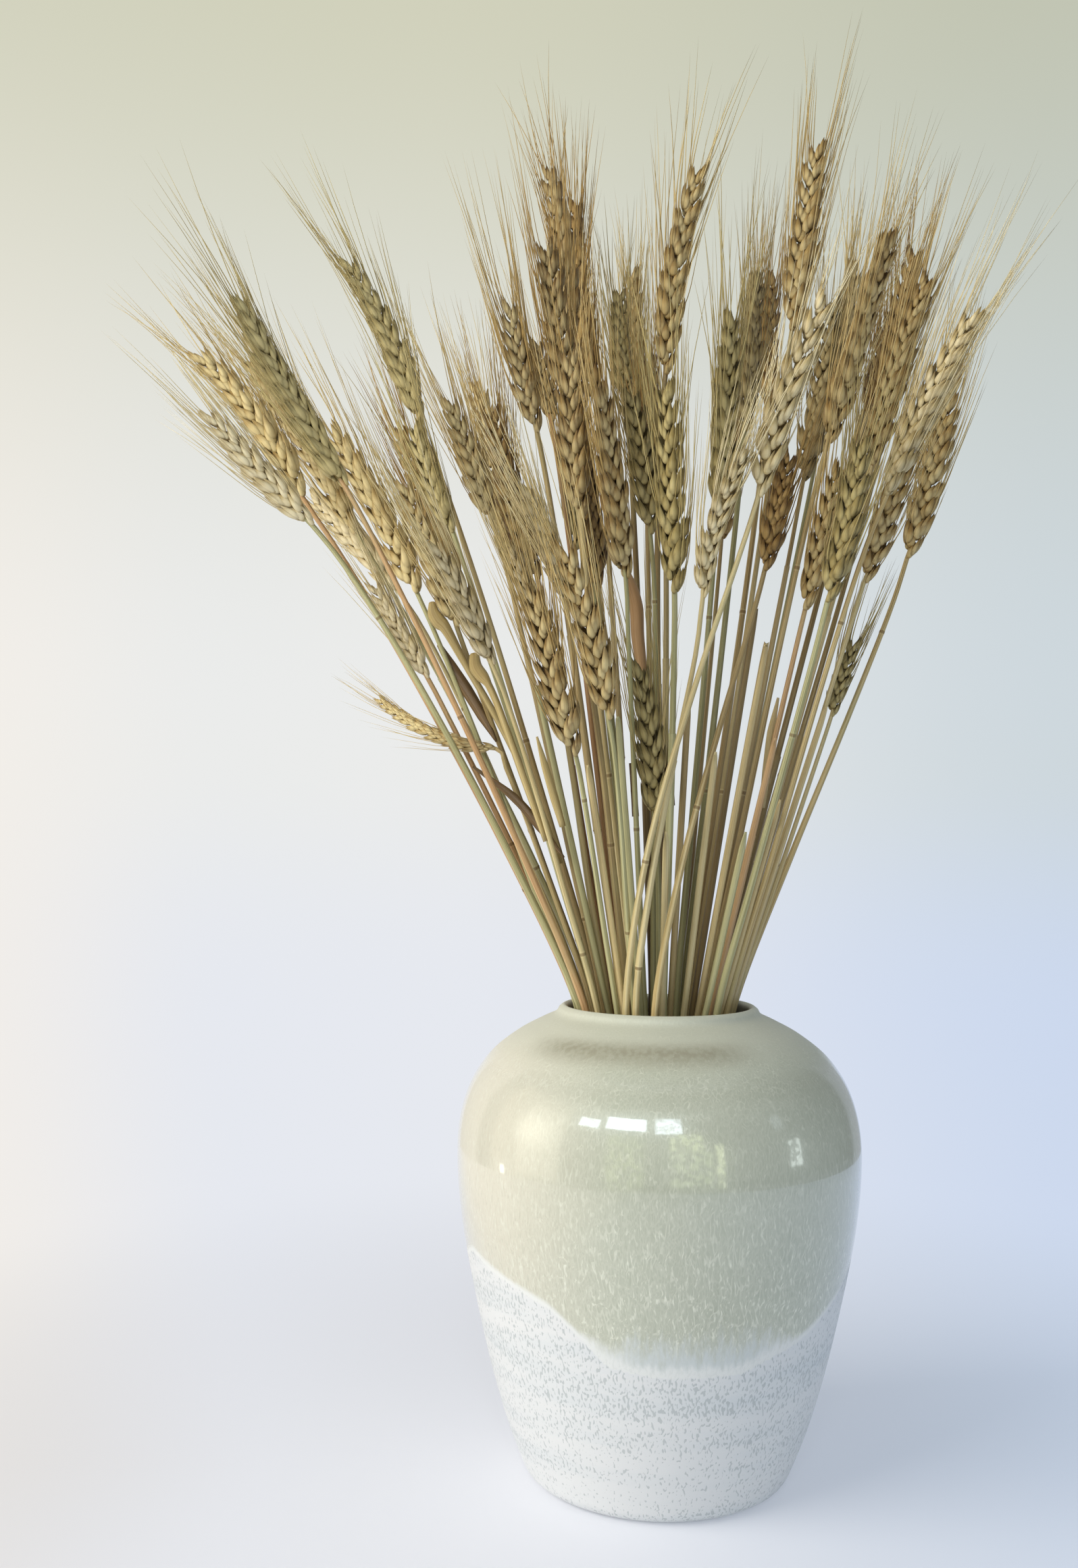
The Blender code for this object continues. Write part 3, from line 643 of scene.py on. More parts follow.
def strawMaterial(name):
    dark, body, light = straws[name]
    material, graph, shader = newMaterial(name, {"Specular IOR Level": 0.45})
    grain = graph.attribute("grain", "Vector")
    place = graph.place()
    sheath = graph.attribute("sheath")
    ring = graph.attribute("ring")
    fine = graph.noise(graph.scaled(grain, (5.0, 5.0, 9.0)), 1.0, 3, 0.6)
    broad = graph.noise(graph.scaled(grain, (1.4, 1.4, 14.0)), 1.0)
    cloud = graph.noise(place, 24)
    pale = fine.over(0.35, 0.75) * 0.5 + broad.over(0.35, 0.7) * 0.4 + cloud * 0.3 - 0.25
    streak = fine.under(0.3, 0.5) * 0.5 + broad.under(0.28, 0.52) * 0.4
    colour = graph.layered(body, (pale.math("MAXIMUM", 0.0), light), (streak, dark))
    if name.endswith("Straw"):
        green = straws["greenStraw"][1]
        colour = graph.layered(colour, (sheath * 0.3, light),
                               ((1 - sheath) * cloud.over(0.5, 0.75) * 0.35, green))
    # painted shade: the straws inside and behind the bunch are darker, those at the front stay light
    x, y, height = graph.parts(place)
    inner = (hypotenuse(x, y - 0.026) - (height - 0.2) * 0.25).under(0.012, 0.05)
    colour = graph.layered(colour, (inner * (1 - height.over(0.24, 0.42) * 0.5) * 0.8, dark),
                           (ring.over(0.0, 0.3) * ring.under(0.35, 0.8) * 0.3, light),
                           (ring.over(0.5, 1.0) * 0.65, nodeColour))
    plug(graph, shader, Base_Color=colour, Roughness=0.5 - fine * 0.15 + ring * 0.1,
         Normal=graph.bump(0.5, 0.0004, fine + broad * 0.5))
    return material


earFinish = {look: earMaterial(look) for look in looks}
awnFinish = {look: awnMaterial(look) for look in looks}
strawFinish = {name: strawMaterial(name) for name in straws}
print("finishes made")


# Husks: the chaffy scales that make up a spikelet, pointing up with their backs to +X

husk = {
    # share of its length, and its width and depth there as shares of the greatest
    "outline": [(0.0, 0.0), (0.04, 0.5), (0.14, 0.84), (0.32, 1.0), (0.52, 0.92), (0.72, 0.64),
                (0.88, 0.32)],
    "sides": 6,
    "keel": 1.3,
    "inner": 0.45,
    "bulge": 0.12,
    "awnRoot": 0.86,  # where the awn's foot sits inside the husk, as a share of its length
    "crease": 0.9,  # how far from a neighbour a husk gets painted shade
}
# one row for each husk of a spikelet: how far out, to the side and up its root is, its length, width and
# depth, its turn about itself, its lean outwards and to the side, and its awn's share of a full one
spikeletHusks = [
    (0.8, -2.1, 0.0, 11.0, 5.2, 2.5, -72, 3, -3, 0.0),
    (0.8, 2.1, 0.4, 11.0, 5.2, 2.5, 72, 3, 3, 0.0),
    (1.9, -2.1, 1.5, 13.0, 5.0, 2.5, -52, 8, -4, 1.0),
    (1.9, 2.1, 1.9, 13.2, 5.0, 2.5, 52, 8, 4, 1.0),
    (2.9, -1.1, 2.7, 13.4, 4.7, 2.4, -26, 12, -2.5, 0.0),
    (2.9, 1.1, 3.1, 13.4, 4.7, 2.4, 26, 12, 2.5, 0.95),
    (3.3, 0.0, 4.3, 12.4, 4.2, 2.3, 0, 13.5, 0, 0.9),
]
variants = 4  # of the spikelet
spikelet = {
    "seed": 40,
    "wobble": 0.14,  # turn about the ear's axis, from a straight row
    "leanWobble": (0.05, 0.08),
    "swell": (0.64, 3.4, 0.38, 2.4),  # share of full size at the foot, growth, loss at the tip and its power
    "lastOnes": (0.9, 1.0),
}


def huskPoints(length, width, depth):
    points, grain = [(0, 0, 0)], [(0, 0, 0)]
    for v, swell in husk["outline"][1:]:
        for side, (_, c, s) in enumerate(circle(husk["sides"])):
            out = c * (husk["keel"] if side == 0 else 1 if c > 0 else husk["inner"])
            bulge = husk["bulge"] * math.sin(math.pi * v)
            points.append((depth * (out / 2 * swell + bulge), s * width / 2 * swell, v * length))
            grain.append((c, s, v))
    return points + [(0, 0, length)], grain + [(0, 0, 1)]


def creaseShading(points, husks):  # how close each point is to the other husks, 1 where it touches one, for painted shade in the creases
    dark = np.zeros(len(points))
    owner = np.repeat(np.arange(len(husks)), len(points) // len(husks))
    for number, (base, tip, size) in enumerate(husks):
        line = tip - base
        v = np.clip((points - base) @ line / (line @ line), 0, 1)
        reach = np.interp(v, *zip(*husk["outline"], (1, 0))) * size
        gap = np.linalg.norm(points - base - v[:, None] * line, axis=1) - reach
        near = np.clip(1 - gap / husk["crease"], 0, 1)
        dark = np.maximum(dark, np.where(owner == number, 0, near))
    return dark


def makeSpikelet(variant):  # the husks of one spikelet, and a point at the tip of each that bears an awn
    draw = random.Random(spikelet["seed"] + variant)
    points, grains, shades, faces, husks, tips, shares, starts = [], [], [], [], [], [], [], []
    wobble = lambda amount: draw.uniform(-amount, amount)
    for out, side, up, length, width, depth, turn, leanOut, leanSide, share in spikeletHusks:
        place = (Matrix.Translation((out + wobble(0.2), side + wobble(0.25), up + wobble(0.4)))
                 @ Matrix.Rotation(math.radians(leanOut + wobble(3)), 4, "Y")
                 @ Matrix.Rotation(math.radians(-leanSide + wobble(3)), 4, "X")
                 @ Matrix.Rotation(math.radians(turn + wobble(8)), 4, "Z"))
        shape, grain = huskPoints(length * (1 + wobble(0.08)), width * (1 + wobble(0.06)), depth)
        faces += spindleFaces(len(husk["outline"]) - 1, husk["sides"], len(points))
        placed = [place @ Vector(p) for p in shape]
        points += placed
        grains += grain
        husks.append((np.array(placed[0]), np.array(placed[-1]), (width + depth) / 4))
        shades += [draw.random()] * len(shape)
        if share:
            tips.append(place @ Vector((depth * 0.05, 0, length * husk["awnRoot"])) * mm)
            shares.append(share)
            starts.append(place.to_3x3() @ Vector((0, 0, 1)))
    piece = addMesh(f"spikelet{variant}", np.array(points) * mm, faces)
    storeVector(piece.data, "grain", grains)
    storeFloat(piece.data, "shade", shades)
    storeFloat(piece.data, "crease", creaseShading(np.array(points), husks))
    roots = addMesh(f"awnRoots{variant}", tips)
    storeFloat(roots.data, "share", shares)
    storeVector(roots.data, "start", starts)
    return piece, roots


awn = {
    "rings": (0, 0.04, 0.1, 0.22, 0.42, 0.7),
    "baseRadius": 0.3,
    "tipShare": 0.28,
    "keep": 0.76,
    "bend": 0.05,
    "settling": 7,  # length over which it turns from its husk's direction to its own
}


def makeAwn():  # one awn, a metre long before it is scaled, three-sided
    grains = [(c, s, v) for v in awn["rings"] for _, c, s in circle(3)] + [(0, 0, 1)]
    taper = 1 - awn["tipShare"]
    points = [(c * (1 - taper * v), s * (1 - taper * v), v) for c, s, v in grains]
    last = len(points) - 4
    tip = [(last + s, last + (s + 1) % 3, last + 3) for s in range(3)]
    piece = addMesh("awnShape", points, [(0, 2, 1)] + ringFaces(len(awn["rings"]), 3) + tip)
    storeVector(piece.data, "grain", grains)
    return piece


# The stalk tree: a tube along the straw, spikelets by turns on both sides of the ear, awns on their tips

stalkInputs = {
    "Spikelets": "Int", "Ear Scale": "Float", "Turn": "Float", "Splay": "Float", "Awn Keep": "Float",
    "Awn Length": "Float", "Awn Spread": "Float", "Awn Radius": "Float", "Seed": "Int",
    "Straw Finish": "Material", "Ear Finish": "Material", "Awn Finish": "Material",
}


def stalkTree(spikelets, awnShape):
    tree = bpy.data.node_groups.new("wheatStalk", "GeometryNodeTree")
    for name, kind in {"Stalk": "Geometry", **stalkInputs}.items():
        tree.interface.new_socket(name, in_out="INPUT", socket_type="NodeSocket" + kind)
    tree.interface.new_socket("Stalk", in_out="OUTPUT", socket_type="NodeSocketGeometry")
    graph = Graph(tree)
    add = graph.add
    given = add("NodeGroupInput")

    def named(name, kind="FLOAT"):
        return add("GeometryNodeInputNamedAttribute", {"data_type": kind}, {"Name": name})

    def store(geometry, name, value, kind="FLOAT", domain="POINT"):
        return add("GeometryNodeStoreNamedAttribute", {"data_type": kind, "domain": domain},
                   {"Geometry": geometry, "Name": name, "Value": value})

    def compare(operation, first, second, values):
        return add("FunctionNodeCompare", {"data_type": "FLOAT", "operation": operation},
                   {"A": first, "B": second, **values})

    def randomly(kind, values, salt):
        seed = given.out("Seed") + salt
        return add("FunctionNodeRandomValue", {"data_type": kind}, {**values, "Seed": seed})

    def chance(low, high, salt):
        return randomly("FLOAT", {"Min": low, "Max": high}, salt)

    def vector(operation, *values):
        return add("ShaderNodeVectorMath", {"operation": operation}, dict(enumerate(values)))

    def rotate(arrow, rotation):
        return add("FunctionNodeRotateVector", {}, {"Vector": arrow, "Rotation": rotation})

    def turnedAbout(rotation, axis, angle):
        turn = add("FunctionNodeAxisAngleToRotation", {}, {"Axis": axis, "Angle": angle})
        return add("FunctionNodeRotateRotation", {"rotation_space": "LOCAL"},
                   {"Rotation": rotation, "Rotate By": turn})

    def join(*pieces):
        node = tree.nodes.new("GeometryNodeJoinGeometry")
        for piece in reversed(pieces):
            tree.links.new(piece.socket, node.inputs[0])
        return Wire(graph, node.outputs[0])

    def realize(geometry):
        return add("GeometryNodeRealizeInstances", {}, {"Geometry": geometry})

    def shapeOf(thing):
        return add("GeometryNodeObjectInfo", {"transform_space": "ORIGINAL"},
                   {"Object": thing, "As Instance": True}, output="Geometry")

    # straw, and the axis of the ear
    isEar = compare("GREATER_THAN", named("inEar"), 0.5, {})
    split = add("GeometryNodeSeparateGeometry", {"domain": "POINT"},
                {"Geometry": given, "Selection": isEar})
    earLine = add("GeometryNodeMeshToCurve", {}, {"Mesh": split})
    strawLine = add("GeometryNodeMeshToCurve", {}, {"Mesh": split.out("Inverted")})

    def tube(line, sides, kindOf):
        line = store(line, "reach", add("GeometryNodeSplineParameter", output="Length"))
        ring = add("GeometryNodeCurvePrimitiveCircle", {"mode": "RADIUS"},
                   {"Resolution": sides, "Radius": 1.0})
        ring = store(ring, "around", add("GeometryNodeInputPosition"), "FLOAT_VECTOR")
        made = add("GeometryNodeCurveToMesh", {},
                   {"Curve": line, "Profile Curve": ring, "Scale": named("thick"), "Fill Caps": True})
        x, y, _ = graph.parts(named("around", "FLOAT_VECTOR"))
        made = store(made, "grain", graph.combined(x, y, named("reach")), "FLOAT_VECTOR")
        return store(made, "kind", kindOf)

    strawTube = tube(strawLine, 9, 0.0)
    # the ear's axis is darker, painted shade as in a crease between the spikelets
    rachis = store(store(tube(earLine, 5, 1.0), "shade", 0.2), "crease", 0.7)

    # spikelets
    seats = add("GeometryNodeResampleCurve", {"mode": "COUNT"},
                {"Curve": earLine, "Count": given.out("Spikelets")})
    t = add("GeometryNodeSplineParameter", output="Factor")
    tangent = add("GeometryNodeInputTangent")
    side = vector("NORMALIZE", vector("CROSS_PRODUCT", (0, 1, 0), tangent))
    base = add("FunctionNodeAxesToRotation", {"primary_axis": "Z", "secondary_axis": "X"},
               {"Primary Axis": tangent, "Secondary Axis": side})
    parity = add("GeometryNodeInputIndex").math("MODULO", 2.0)
    wobble = spikelet["wobble"]
    base = turnedAbout(base, (0, 0, 1), given.out("Turn") + parity * math.pi + chance(-wobble, wobble, 1))
    out, across = spikelet["leanWobble"]
    lean = (given.out("Splay") * (1 - 0.35 * t) + chance(-out, out, 2)) * t.under(*spikelet["lastOnes"])
    posed = turnedAbout(turnedAbout(base, (0, 1, 0), lean), (1, 0, 0), chance(-across, across, 3))
    foot, growth, loss, power = spikelet["swell"]
    swell = (foot + t * growth).math("MINIMUM", 1.0) * (1 - loss * t ** power)
    size = swell * given.out("Ear Scale") * chance(0.93, 1.07, 4)
    tall = (0.45 + 0.55 * swell) * given.out("Ear Scale") * chance(0.95, 1.1, 5)
    huskSize = graph.combined(size, size, tall)
    seats = store(seats, "aim", base, "QUATERNION")
    seats = store(seats, "posed", posed, "QUATERNION")
    seats = store(seats, "size", size)
    choose = randomly("INT", {"Min": 0, "Max": variants - 1}, 6)

    def placed(objects):
        return add("GeometryNodeInstanceOnPoints", {},
                   {"Points": seats, "Instance": join(*map(shapeOf, objects)), "Pick Instance": True,
                    "Instance Index": choose, "Rotation": posed, "Scale": huskSize})

    husks = store(placed([piece for piece, _ in spikelets]), "tone", chance(0.0, 1.0, 7), domain="INSTANCE")
    husks = store(realize(husks), "kind", 1.0)

    # awns
    roots = add("GeometryNodeMeshToPoints", {}, {"Mesh": realize(placed([tips for _, tips in spikelets]))})
    lost = randomly("BOOLEAN", {"Probability": 1 - given.out("Awn Keep")}, 16)
    roots = add("GeometryNodeDeleteGeometry", {"domain": "POINT"},
                {"Geometry": roots, "Selection": lost})
    side = chance(-1.0, 1.0, 9)
    outward = given.out("Awn Spread") * (0.1 + chance(0.0, 1.0, 8) ** 2.0 * 1.7)
    sideways = given.out("Awn Spread") * side * abs(side) * 1.5
    aimed = turnedAbout(named("aim", "QUATERNION"), (0, 1, 0), outward)
    aimed = turnedAbout(turnedAbout(aimed, (1, 0, 0), sideways), (0, 0, 1), chance(-1.2, 1.2, 10))
    length = given.out("Awn Length") * chance(0.48, 1.14, 11) * (0.5 + 0.5 * named("size")) * named("share")
    fat = given.out("Awn Radius") * chance(0.8, 1.15, 12)
    settling = awn["settling"] * mm
    leaves = vector("SUBTRACT", rotate(named("start", "FLOAT_VECTOR"), named("posed", "QUATERNION")),
                    rotate((0, 0, 1), aimed))
    awns = add("GeometryNodeInstanceOnPoints", {},
               {"Points": roots, "Instance": shapeOf(awnShape), "Rotation": aimed,
                "Scale": graph.combined(fat, fat, length)})
    awns = store(awns, "tone", chance(0.0, 1.0, 13), domain="INSTANCE")
    awns = store(awns, "curl", length * awn["bend"] * chance(-0.3, 1.6, 15), domain="INSTANCE")
    awns = store(awns, "aimed", aimed, "QUATERNION", "INSTANCE")
    awns = store(awns, "leaves", vector("SCALE", leaves, settling), "FLOAT_VECTOR", "INSTANCE")
    awns = realize(store(awns, "long", length / settling, domain="INSTANCE"))
    reach = graph.parts(named("grain", "FLOAT_VECTOR"))[2]
    sag = rotate(graph.combined(named("curl") * reach ** 2.0), named("aimed", "QUATERNION"))
    settled = 1 - (named("long") * reach * -1).math("EXPONENT")
    early = vector("SCALE", named("leaves", "FLOAT_VECTOR"), settled)
    awns = add("GeometryNodeSetPosition", {}, {"Geometry": awns, "Offset": vector("ADD", sag, early)})

    whole = realize(join(strawTube, rachis, husks, store(awns, "kind", 2.0)))
    for value, finish in ((0.0, "Straw Finish"), (1.0, "Ear Finish"), (2.0, "Awn Finish")):
        isKind = compare("EQUAL", named("kind"), value, {"Epsilon": 0.1})
        whole = add("GeometryNodeSetMaterial", {},
                    {"Geometry": whole, "Selection": isKind, "Material": given.out(finish)})
    whole = add("GeometryNodeSetShadeSmooth", {}, {"Geometry": whole})
    tree.links.new(whole.socket, tree.nodes.new("NodeGroupOutput").inputs[0])
    return tree


wheat = {
    "strawStep": 9.0,  # about how far apart the straw's rings are
    "spikeletPitch": (4.3, 4.9),
    "fewestSpikelets": 7,
    "splay": math.radians(5),
    "core": 1.8,  # radius of the ear's axis, which fills the gaps between spikelets
    "coreFoot": 0.8,  # its share of the straw's thickness where it starts
    "tuck": 5,  # how far the straw runs up into its ear
    "awnLength": 88,
    "awnSpread": (0.045, 0.13),
    "nodeAboveMouth": (-25, 215),
    "bentMouthReach": 225,  # length below the mouth of a straw that bends down again
    "sheathShare": 0.6,
    "sheathLengths": (70, 150),
    "sheathSwell": 1.16,
    "nodeSwell": 1.1,
    "nodeHalf": 0.42,
    "nodeShoulder": 1.2,
    "sheathEdge": (-3, 0, 0.3),  # rings at the sheath's end, which flares a little
    "endRoom": (2, 4, 30),  # plain straw kept at the foot, under the ear, and above a sheath
    "ringGap": 1.5,
}
awnShares = {32: 0.93, 33: 0.72, 47: 0.8}
awnKeeps = {47: 0.28}
awnSpreads = {47: 0.03}
awnRadii = {47: 0.6}
splays = {47: 0.3}
strawWeights = {"paleStraw": 24, "greenStraw": 26, "goldStraw": 28, "pinkStraw": 12, "duskStraw": 10}
strawByRow = {}
for name, rows in (("paleStraw", (33, 45, 41, 46)), ("goldStraw", (44, 47, 37, 40, 34, 39)),
                   ("greenStraw", (26, 28, 24)), ("duskStraw", (38, 36, 56))):
    strawByRow.update(dict.fromkeys(rows, name))


def strawPath(row, route):  # centre line and thickness of a straw, and where it is sheathed or has a node
    draw = drawFor("straw", row)
    line = smoothThrough(route[:earStart + 1], 3, wheat["strawStep"], route[earStart + 1])
    reach = lengths(line)
    atMouth = wheat["bentMouthReach"] if row in sharpNecks else np.interp(vaseHeight, line[:, 2], reach)
    joint = atMouth + draw.uniform(*wheat["nodeAboveMouth"])
    sheathed = draw.random() < wheat["sheathShare"]
    sheathEnd = joint + draw.uniform(*wheat["sheathLengths"]) if sheathed else joint
    half = wheat["nodeHalf"]
    wide = half + wheat["nodeShoulder"]
    marks = [joint - wide, joint - half, joint, joint + half, joint + wide]
    low, high, above = wheat["endRoom"]
    if sheathed and sheathEnd < reach[-1] - above:
        marks += [sheathEnd + edge for edge in wheat["sheathEdge"]]
    else:
        sheathEnd = joint
    marks = [m for m in marks if low < m < reach[-1] - high]
    clear = {r for r in reach if all(abs(r - m) > wheat["ringGap"] for m in marks)}
    stops = np.array(sorted(clear | set(marks)))
    path = np.stack([np.interp(stops, reach, line[:, axis]) for axis in range(3)], axis=1)
    thick = (strawRadius + (neckRadius - strawRadius) * (stops / reach[-1]) ** 1.15) * thickness(row)
    inSheath = (stops > joint) & (stops <= sheathEnd)
    thick = thick * np.where(inSheath, wheat["sheathSwell"] + 0.06 * (stops > sheathEnd - 1), 1.0)
    ring = np.where(np.abs(stops - joint) <= half + 0.05, 1.0, 0.0)
    return path, thick * np.where(ring > 0, wheat["nodeSwell"], 1.0), inSheath.astype(float), ring


def earPath(route, count=24):
    start, middle, end = route[earStart:]
    t = np.linspace(0, 1, count)[:, None]
    return start * (1 - t) * (1 - 2 * t) + middle * 4 * t * (1 - t) + end * t * (2 * t - 1)


def stalkLine(row, route):  # straw and ear as two open lines with what the tree reads
    path, thick, sheath, ring = strawPath(row, route)
    ear = earPath(route)
    tuck = earPath(route, round(np.linalg.norm(ear[-1] - ear[0]) / wheat["tuck"]) + 1)[1:2]
    path = np.vstack([path, tuck])
    foot = wheat["coreFoot"]
    thick = np.append(thick, thick[-1] * foot)
    sheath = np.append(sheath, sheath[-1])
    ring = np.append(ring, 0)
    seam = len(path) - 1
    points = np.vstack([path, ear]) * mm
    line = addMesh("stalkLine", points, edges=[(i, i + 1) for i in range(len(points) - 1) if i != seam])
    core = wheat["core"] * earWidth(row, np.linalg.norm(route[-1] - route[earStart])) / earWidthFull
    t = np.linspace(0, 1, len(ear))
    rachis = thick[-1] * foot + (core - thick[-1] * foot) * np.clip(t * 5, 0, 1)
    rachis = rachis * (1 - 0.75 * t ** 2)
    none = np.zeros(len(ear))
    for name, ofStraw, ofEar in (("inEar", np.zeros(len(path)), none + 1), ("sheath", sheath, none),
                                 ("ring", ring, none), ("thick", thick * mm, rachis * mm)):
        storeFloat(line.data, name, np.concatenate([ofStraw, ofEar]))
    return line


def setInput(modifier, name, value):
    socket = next(s for s in modifier.node_group.interface.items_tree
                  if s.name == name and s.in_out == "INPUT")
    modifier[socket.identifier] = value


def growStalk(row, route, tree):
    draw = drawFor("ear", row)
    look = stalks[row][-1]
    length = np.linalg.norm(route[-1] - route[earStart])
    scale = earWidth(row, length) / earWidthFull
    line = stalkLine(row, route)
    modifier = line.modifiers.new("wheat", "NODES")
    modifier.node_group = tree
    straw = draw.choices(list(strawWeights), list(strawWeights.values()))[0]
    count = round(length / scale / draw.uniform(*wheat["spikeletPitch"]))
    values = {
        "Spikelets": max(wheat["fewestSpikelets"], count),
        "Ear Scale": scale,
        "Turn": math.radians(drawFor("turn", row).uniform(-mostTurn, mostTurn)),
        "Splay": wheat["splay"] * draw.uniform(0.85, 1.25) * splays.get(row, 1),
        "Awn Keep": awnKeeps.get(row, awn["keep"]),
        "Awn Length": wheat["awnLength"] * mm * draw.uniform(0.85, 1.08) * awnShares.get(row, 1),
        "Awn Spread": awnSpreads.get(row, draw.uniform(*wheat["awnSpread"])),
        "Awn Radius": awn["baseRadius"] * mm * awnRadii.get(row, 1),
        "Seed": row * 40,
        "Straw Finish": strawFinish[strawByRow.get(row, straw)],
        "Ear Finish": earFinish[look],
        "Awn Finish": awnFinish[look],
    }
    for name, value in values.items():
        setInput(modifier, name, value)
    graph = bpy.context.evaluated_depsgraph_get()
    mesh = bpy.data.meshes.new_from_object(line.evaluated_get(graph))
    bpy.data.objects.remove(line)
    piece = newObject(f"wheat_{row + 1:02d}", mesh)
    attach(piece, "root")
    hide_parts(f"stalk_{row + 1:02d}")
    return sum(len(p.vertices) - 2 for p in mesh.polygons)


# Loose leaf blades and torn sheaths: points (across, up), seen as the ears are, depth of both ends,
# half-width at each point, curl of the cross-section, and the finish
leaves = {
    "leaf_01": (
        [(-112, 418), (-111, 412.5), (-108.4, 408.3), (-104.6, 404), (-95, 386.8), (-83.2, 367), (-71.5,
         345.6), (-58, 316), (-48, 290)],
        (-6, -14), (1.6, 3.4, 3.6, 2.6, 1.7, 1.7, 1.7, 1.7, 1.4), 0.95, "paleLeaf"),
    "leaf_02": (
        [(-91, 393), (-90.3, 386.9), (-87.8, 382.5), (-84.3, 378), (-79.9, 368.7), (-74.9, 355.5), (-66,
         331), (-55, 301)],
        (-12, -30), (2.4, 3.3, 3.1, 1.8, 1.7, 1.7, 1.7, 1.5), 0.95, "paleLeaf"),
    "leaf_03": (
        [(-108.4, 397), (-102.2, 386.8), (-94.9, 375.2), (-86.8, 362), (-79.8, 349.4)],
        (6, -6), (1.2, 2.4, 3.0, 2.6, 0.5), 0.3, "brownLeaf"),
    "leaf_04": (
        [(-91.2, 337.2), (-71.3, 322.5), (-58, 307.7), (-46.3, 293)],
        (-10, -22), (0.6, 2.1, 2.2, 0.5), 0.3, "brownLeaf"),
    "leaf_05": (
        [(7.8, 346.5), (5.4, 339.6), (4.4, 333.6), (5.7, 327.7), (6.9, 318.8)],
        (-34, -36), (0.5, 1.6, 2.0, 1.4, 0.8), 0.5, "brownLeaf"),
    "leaf_06": (
        [(-18.2, 437), (-14.1, 425.7), (-11.7, 415.7), (-11, 402.4), (-9.6, 390.8), (-8.2, 377)],
        (6, -14), (1.4, 3.0, 3.4, 3.2, 2.8, 2.2), 0.7, "pinkStraw"),
    "leaf_07": (
        [(-14.3, 339.4), (-12.5, 326), (-11.5, 313.4)],
        (-8, -10), (0.6, 1.5, 1.7), 0.5, "brownLeaf"),
    "leaf_08": (
        [(58, 372), (54.6, 355), (52.4, 336), (50.2, 318)],
        (-30, -26), (0.6, 1.9, 2.0, 1.4), 0.6, "goldStraw"),
    "leaf_09": (
        [(-60, 352), (-56, 338), (-51.2, 322), (-47, 308)],
        (-46, -40), (0.5, 1.7, 2.0, 1.5), 0.6, "paleLeaf"),
}
leafSkin = 0.22
# empty sheaths and broken straws among the others: place across the mouth, top, depth, finish
looseSheaths = [
    (6, 371, -16, "goldStraw"), (13, 345, -24, "paleStraw"), (20, 398, -20, "goldStraw"),
    (26, 352, -21, "pinkStraw"), (31, 322, -18, "goldStraw"), (-9, 362, -27, "greenStraw"),
    (-17, 338, -31, "goldStraw"), (2, 306, -30, "paleStraw"), (-25, 377, -12, "greenStraw"),
    (17, 414, -6, "duskStraw"), (24, 306, -28, "greenStraw"), (35, 368, -6, "goldStraw"),
]
for number, (across, top, depth, finish) in enumerate(looseSheaths):
    heights = 204, 250, 300 if top > 320 else 275, top - 9, top
    fans = [(height - fanApex) / (vaseHeight - fanApex) for height in heights]
    points = [(across * fan, fanApex + fan * (vaseHeight - fanApex)) for fan in fans]
    leaves[f"sheath_{number + 1:02d}"] = (
        points, (depth * 0.85, depth * fans[-1]), (1.4, 1.6, 1.6, 1.5, 0.5), 0.95, finish)


def makeLeaf(name):
    points, depths, widths, curl, finish = leaves[name]
    share = np.linspace(0, 1, len(points))
    near, far = depths
    middle = [onSightLine(a, b, near + (far - near) * t) for (a, b), t in zip(points, share)]
    line = smoothThrough(middle, 5)
    half = np.interp(np.linspace(0, 1, len(line)), share, widths)
    reach = lengths(line)
    along = np.gradient(line, axis=0)
    along /= np.linalg.norm(along, axis=1, keepdims=True)
    across = np.cross(along, np.array(eye) - line)
    across /= np.linalg.norm(across, axis=1, keepdims=True)
    front = np.cross(across, along)
    made, grains = [], []
    columns = np.linspace(-1, 1, 5)
    for k in range(len(line)):
        for skin, order in ((leafSkin, columns), (-leafSkin, columns[::-1])):
            for u in order:
                a = u * curl * math.pi / 2
                out = (math.cos(a) - 1) / max(curl, 0.1)
                made.append(line[k] + across[k] * half[k] * math.sin(a) / math.sin(curl * math.pi / 2)
                            + front[k] * (half[k] * out + skin * (1 - abs(u) * 0.5)))
                grains.append((u, 0.3 * skin, reach[k] * mm))
    size = 2 * len(columns)
    ends = [tuple(range(size))[::-1], tuple(range(len(made) - size, len(made)))]
    faces = ends + ringFaces(len(line), size)
    piece = addMesh(name, np.array(made) * mm, faces, [strawFinish[finish]])
    storeVector(piece.data, "grain", grains)
    storeFloat(piece.data, "sheath", [1.0] * len(made))
    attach(piece, "root")


spikelets = [makeSpikelet(variant) for variant in range(variants)]
awnShape = makeAwn()
routes = firstRoutes()
routes = clearRoutes(routes, knotRadii(routes))
tree = stalkTree(spikelets, awnShape)
triangles = sum(growStalk(row, route, tree) for row, route in enumerate(routes))
for thing in [part for pair in spikelets for part in pair] + [awnShape]:
    bpy.data.objects.remove(thing)
print("stalks grown,", triangles, "triangles")
for name in leaves:
    makeLeaf(name)
print("leaves made")


# Room, lights and camera

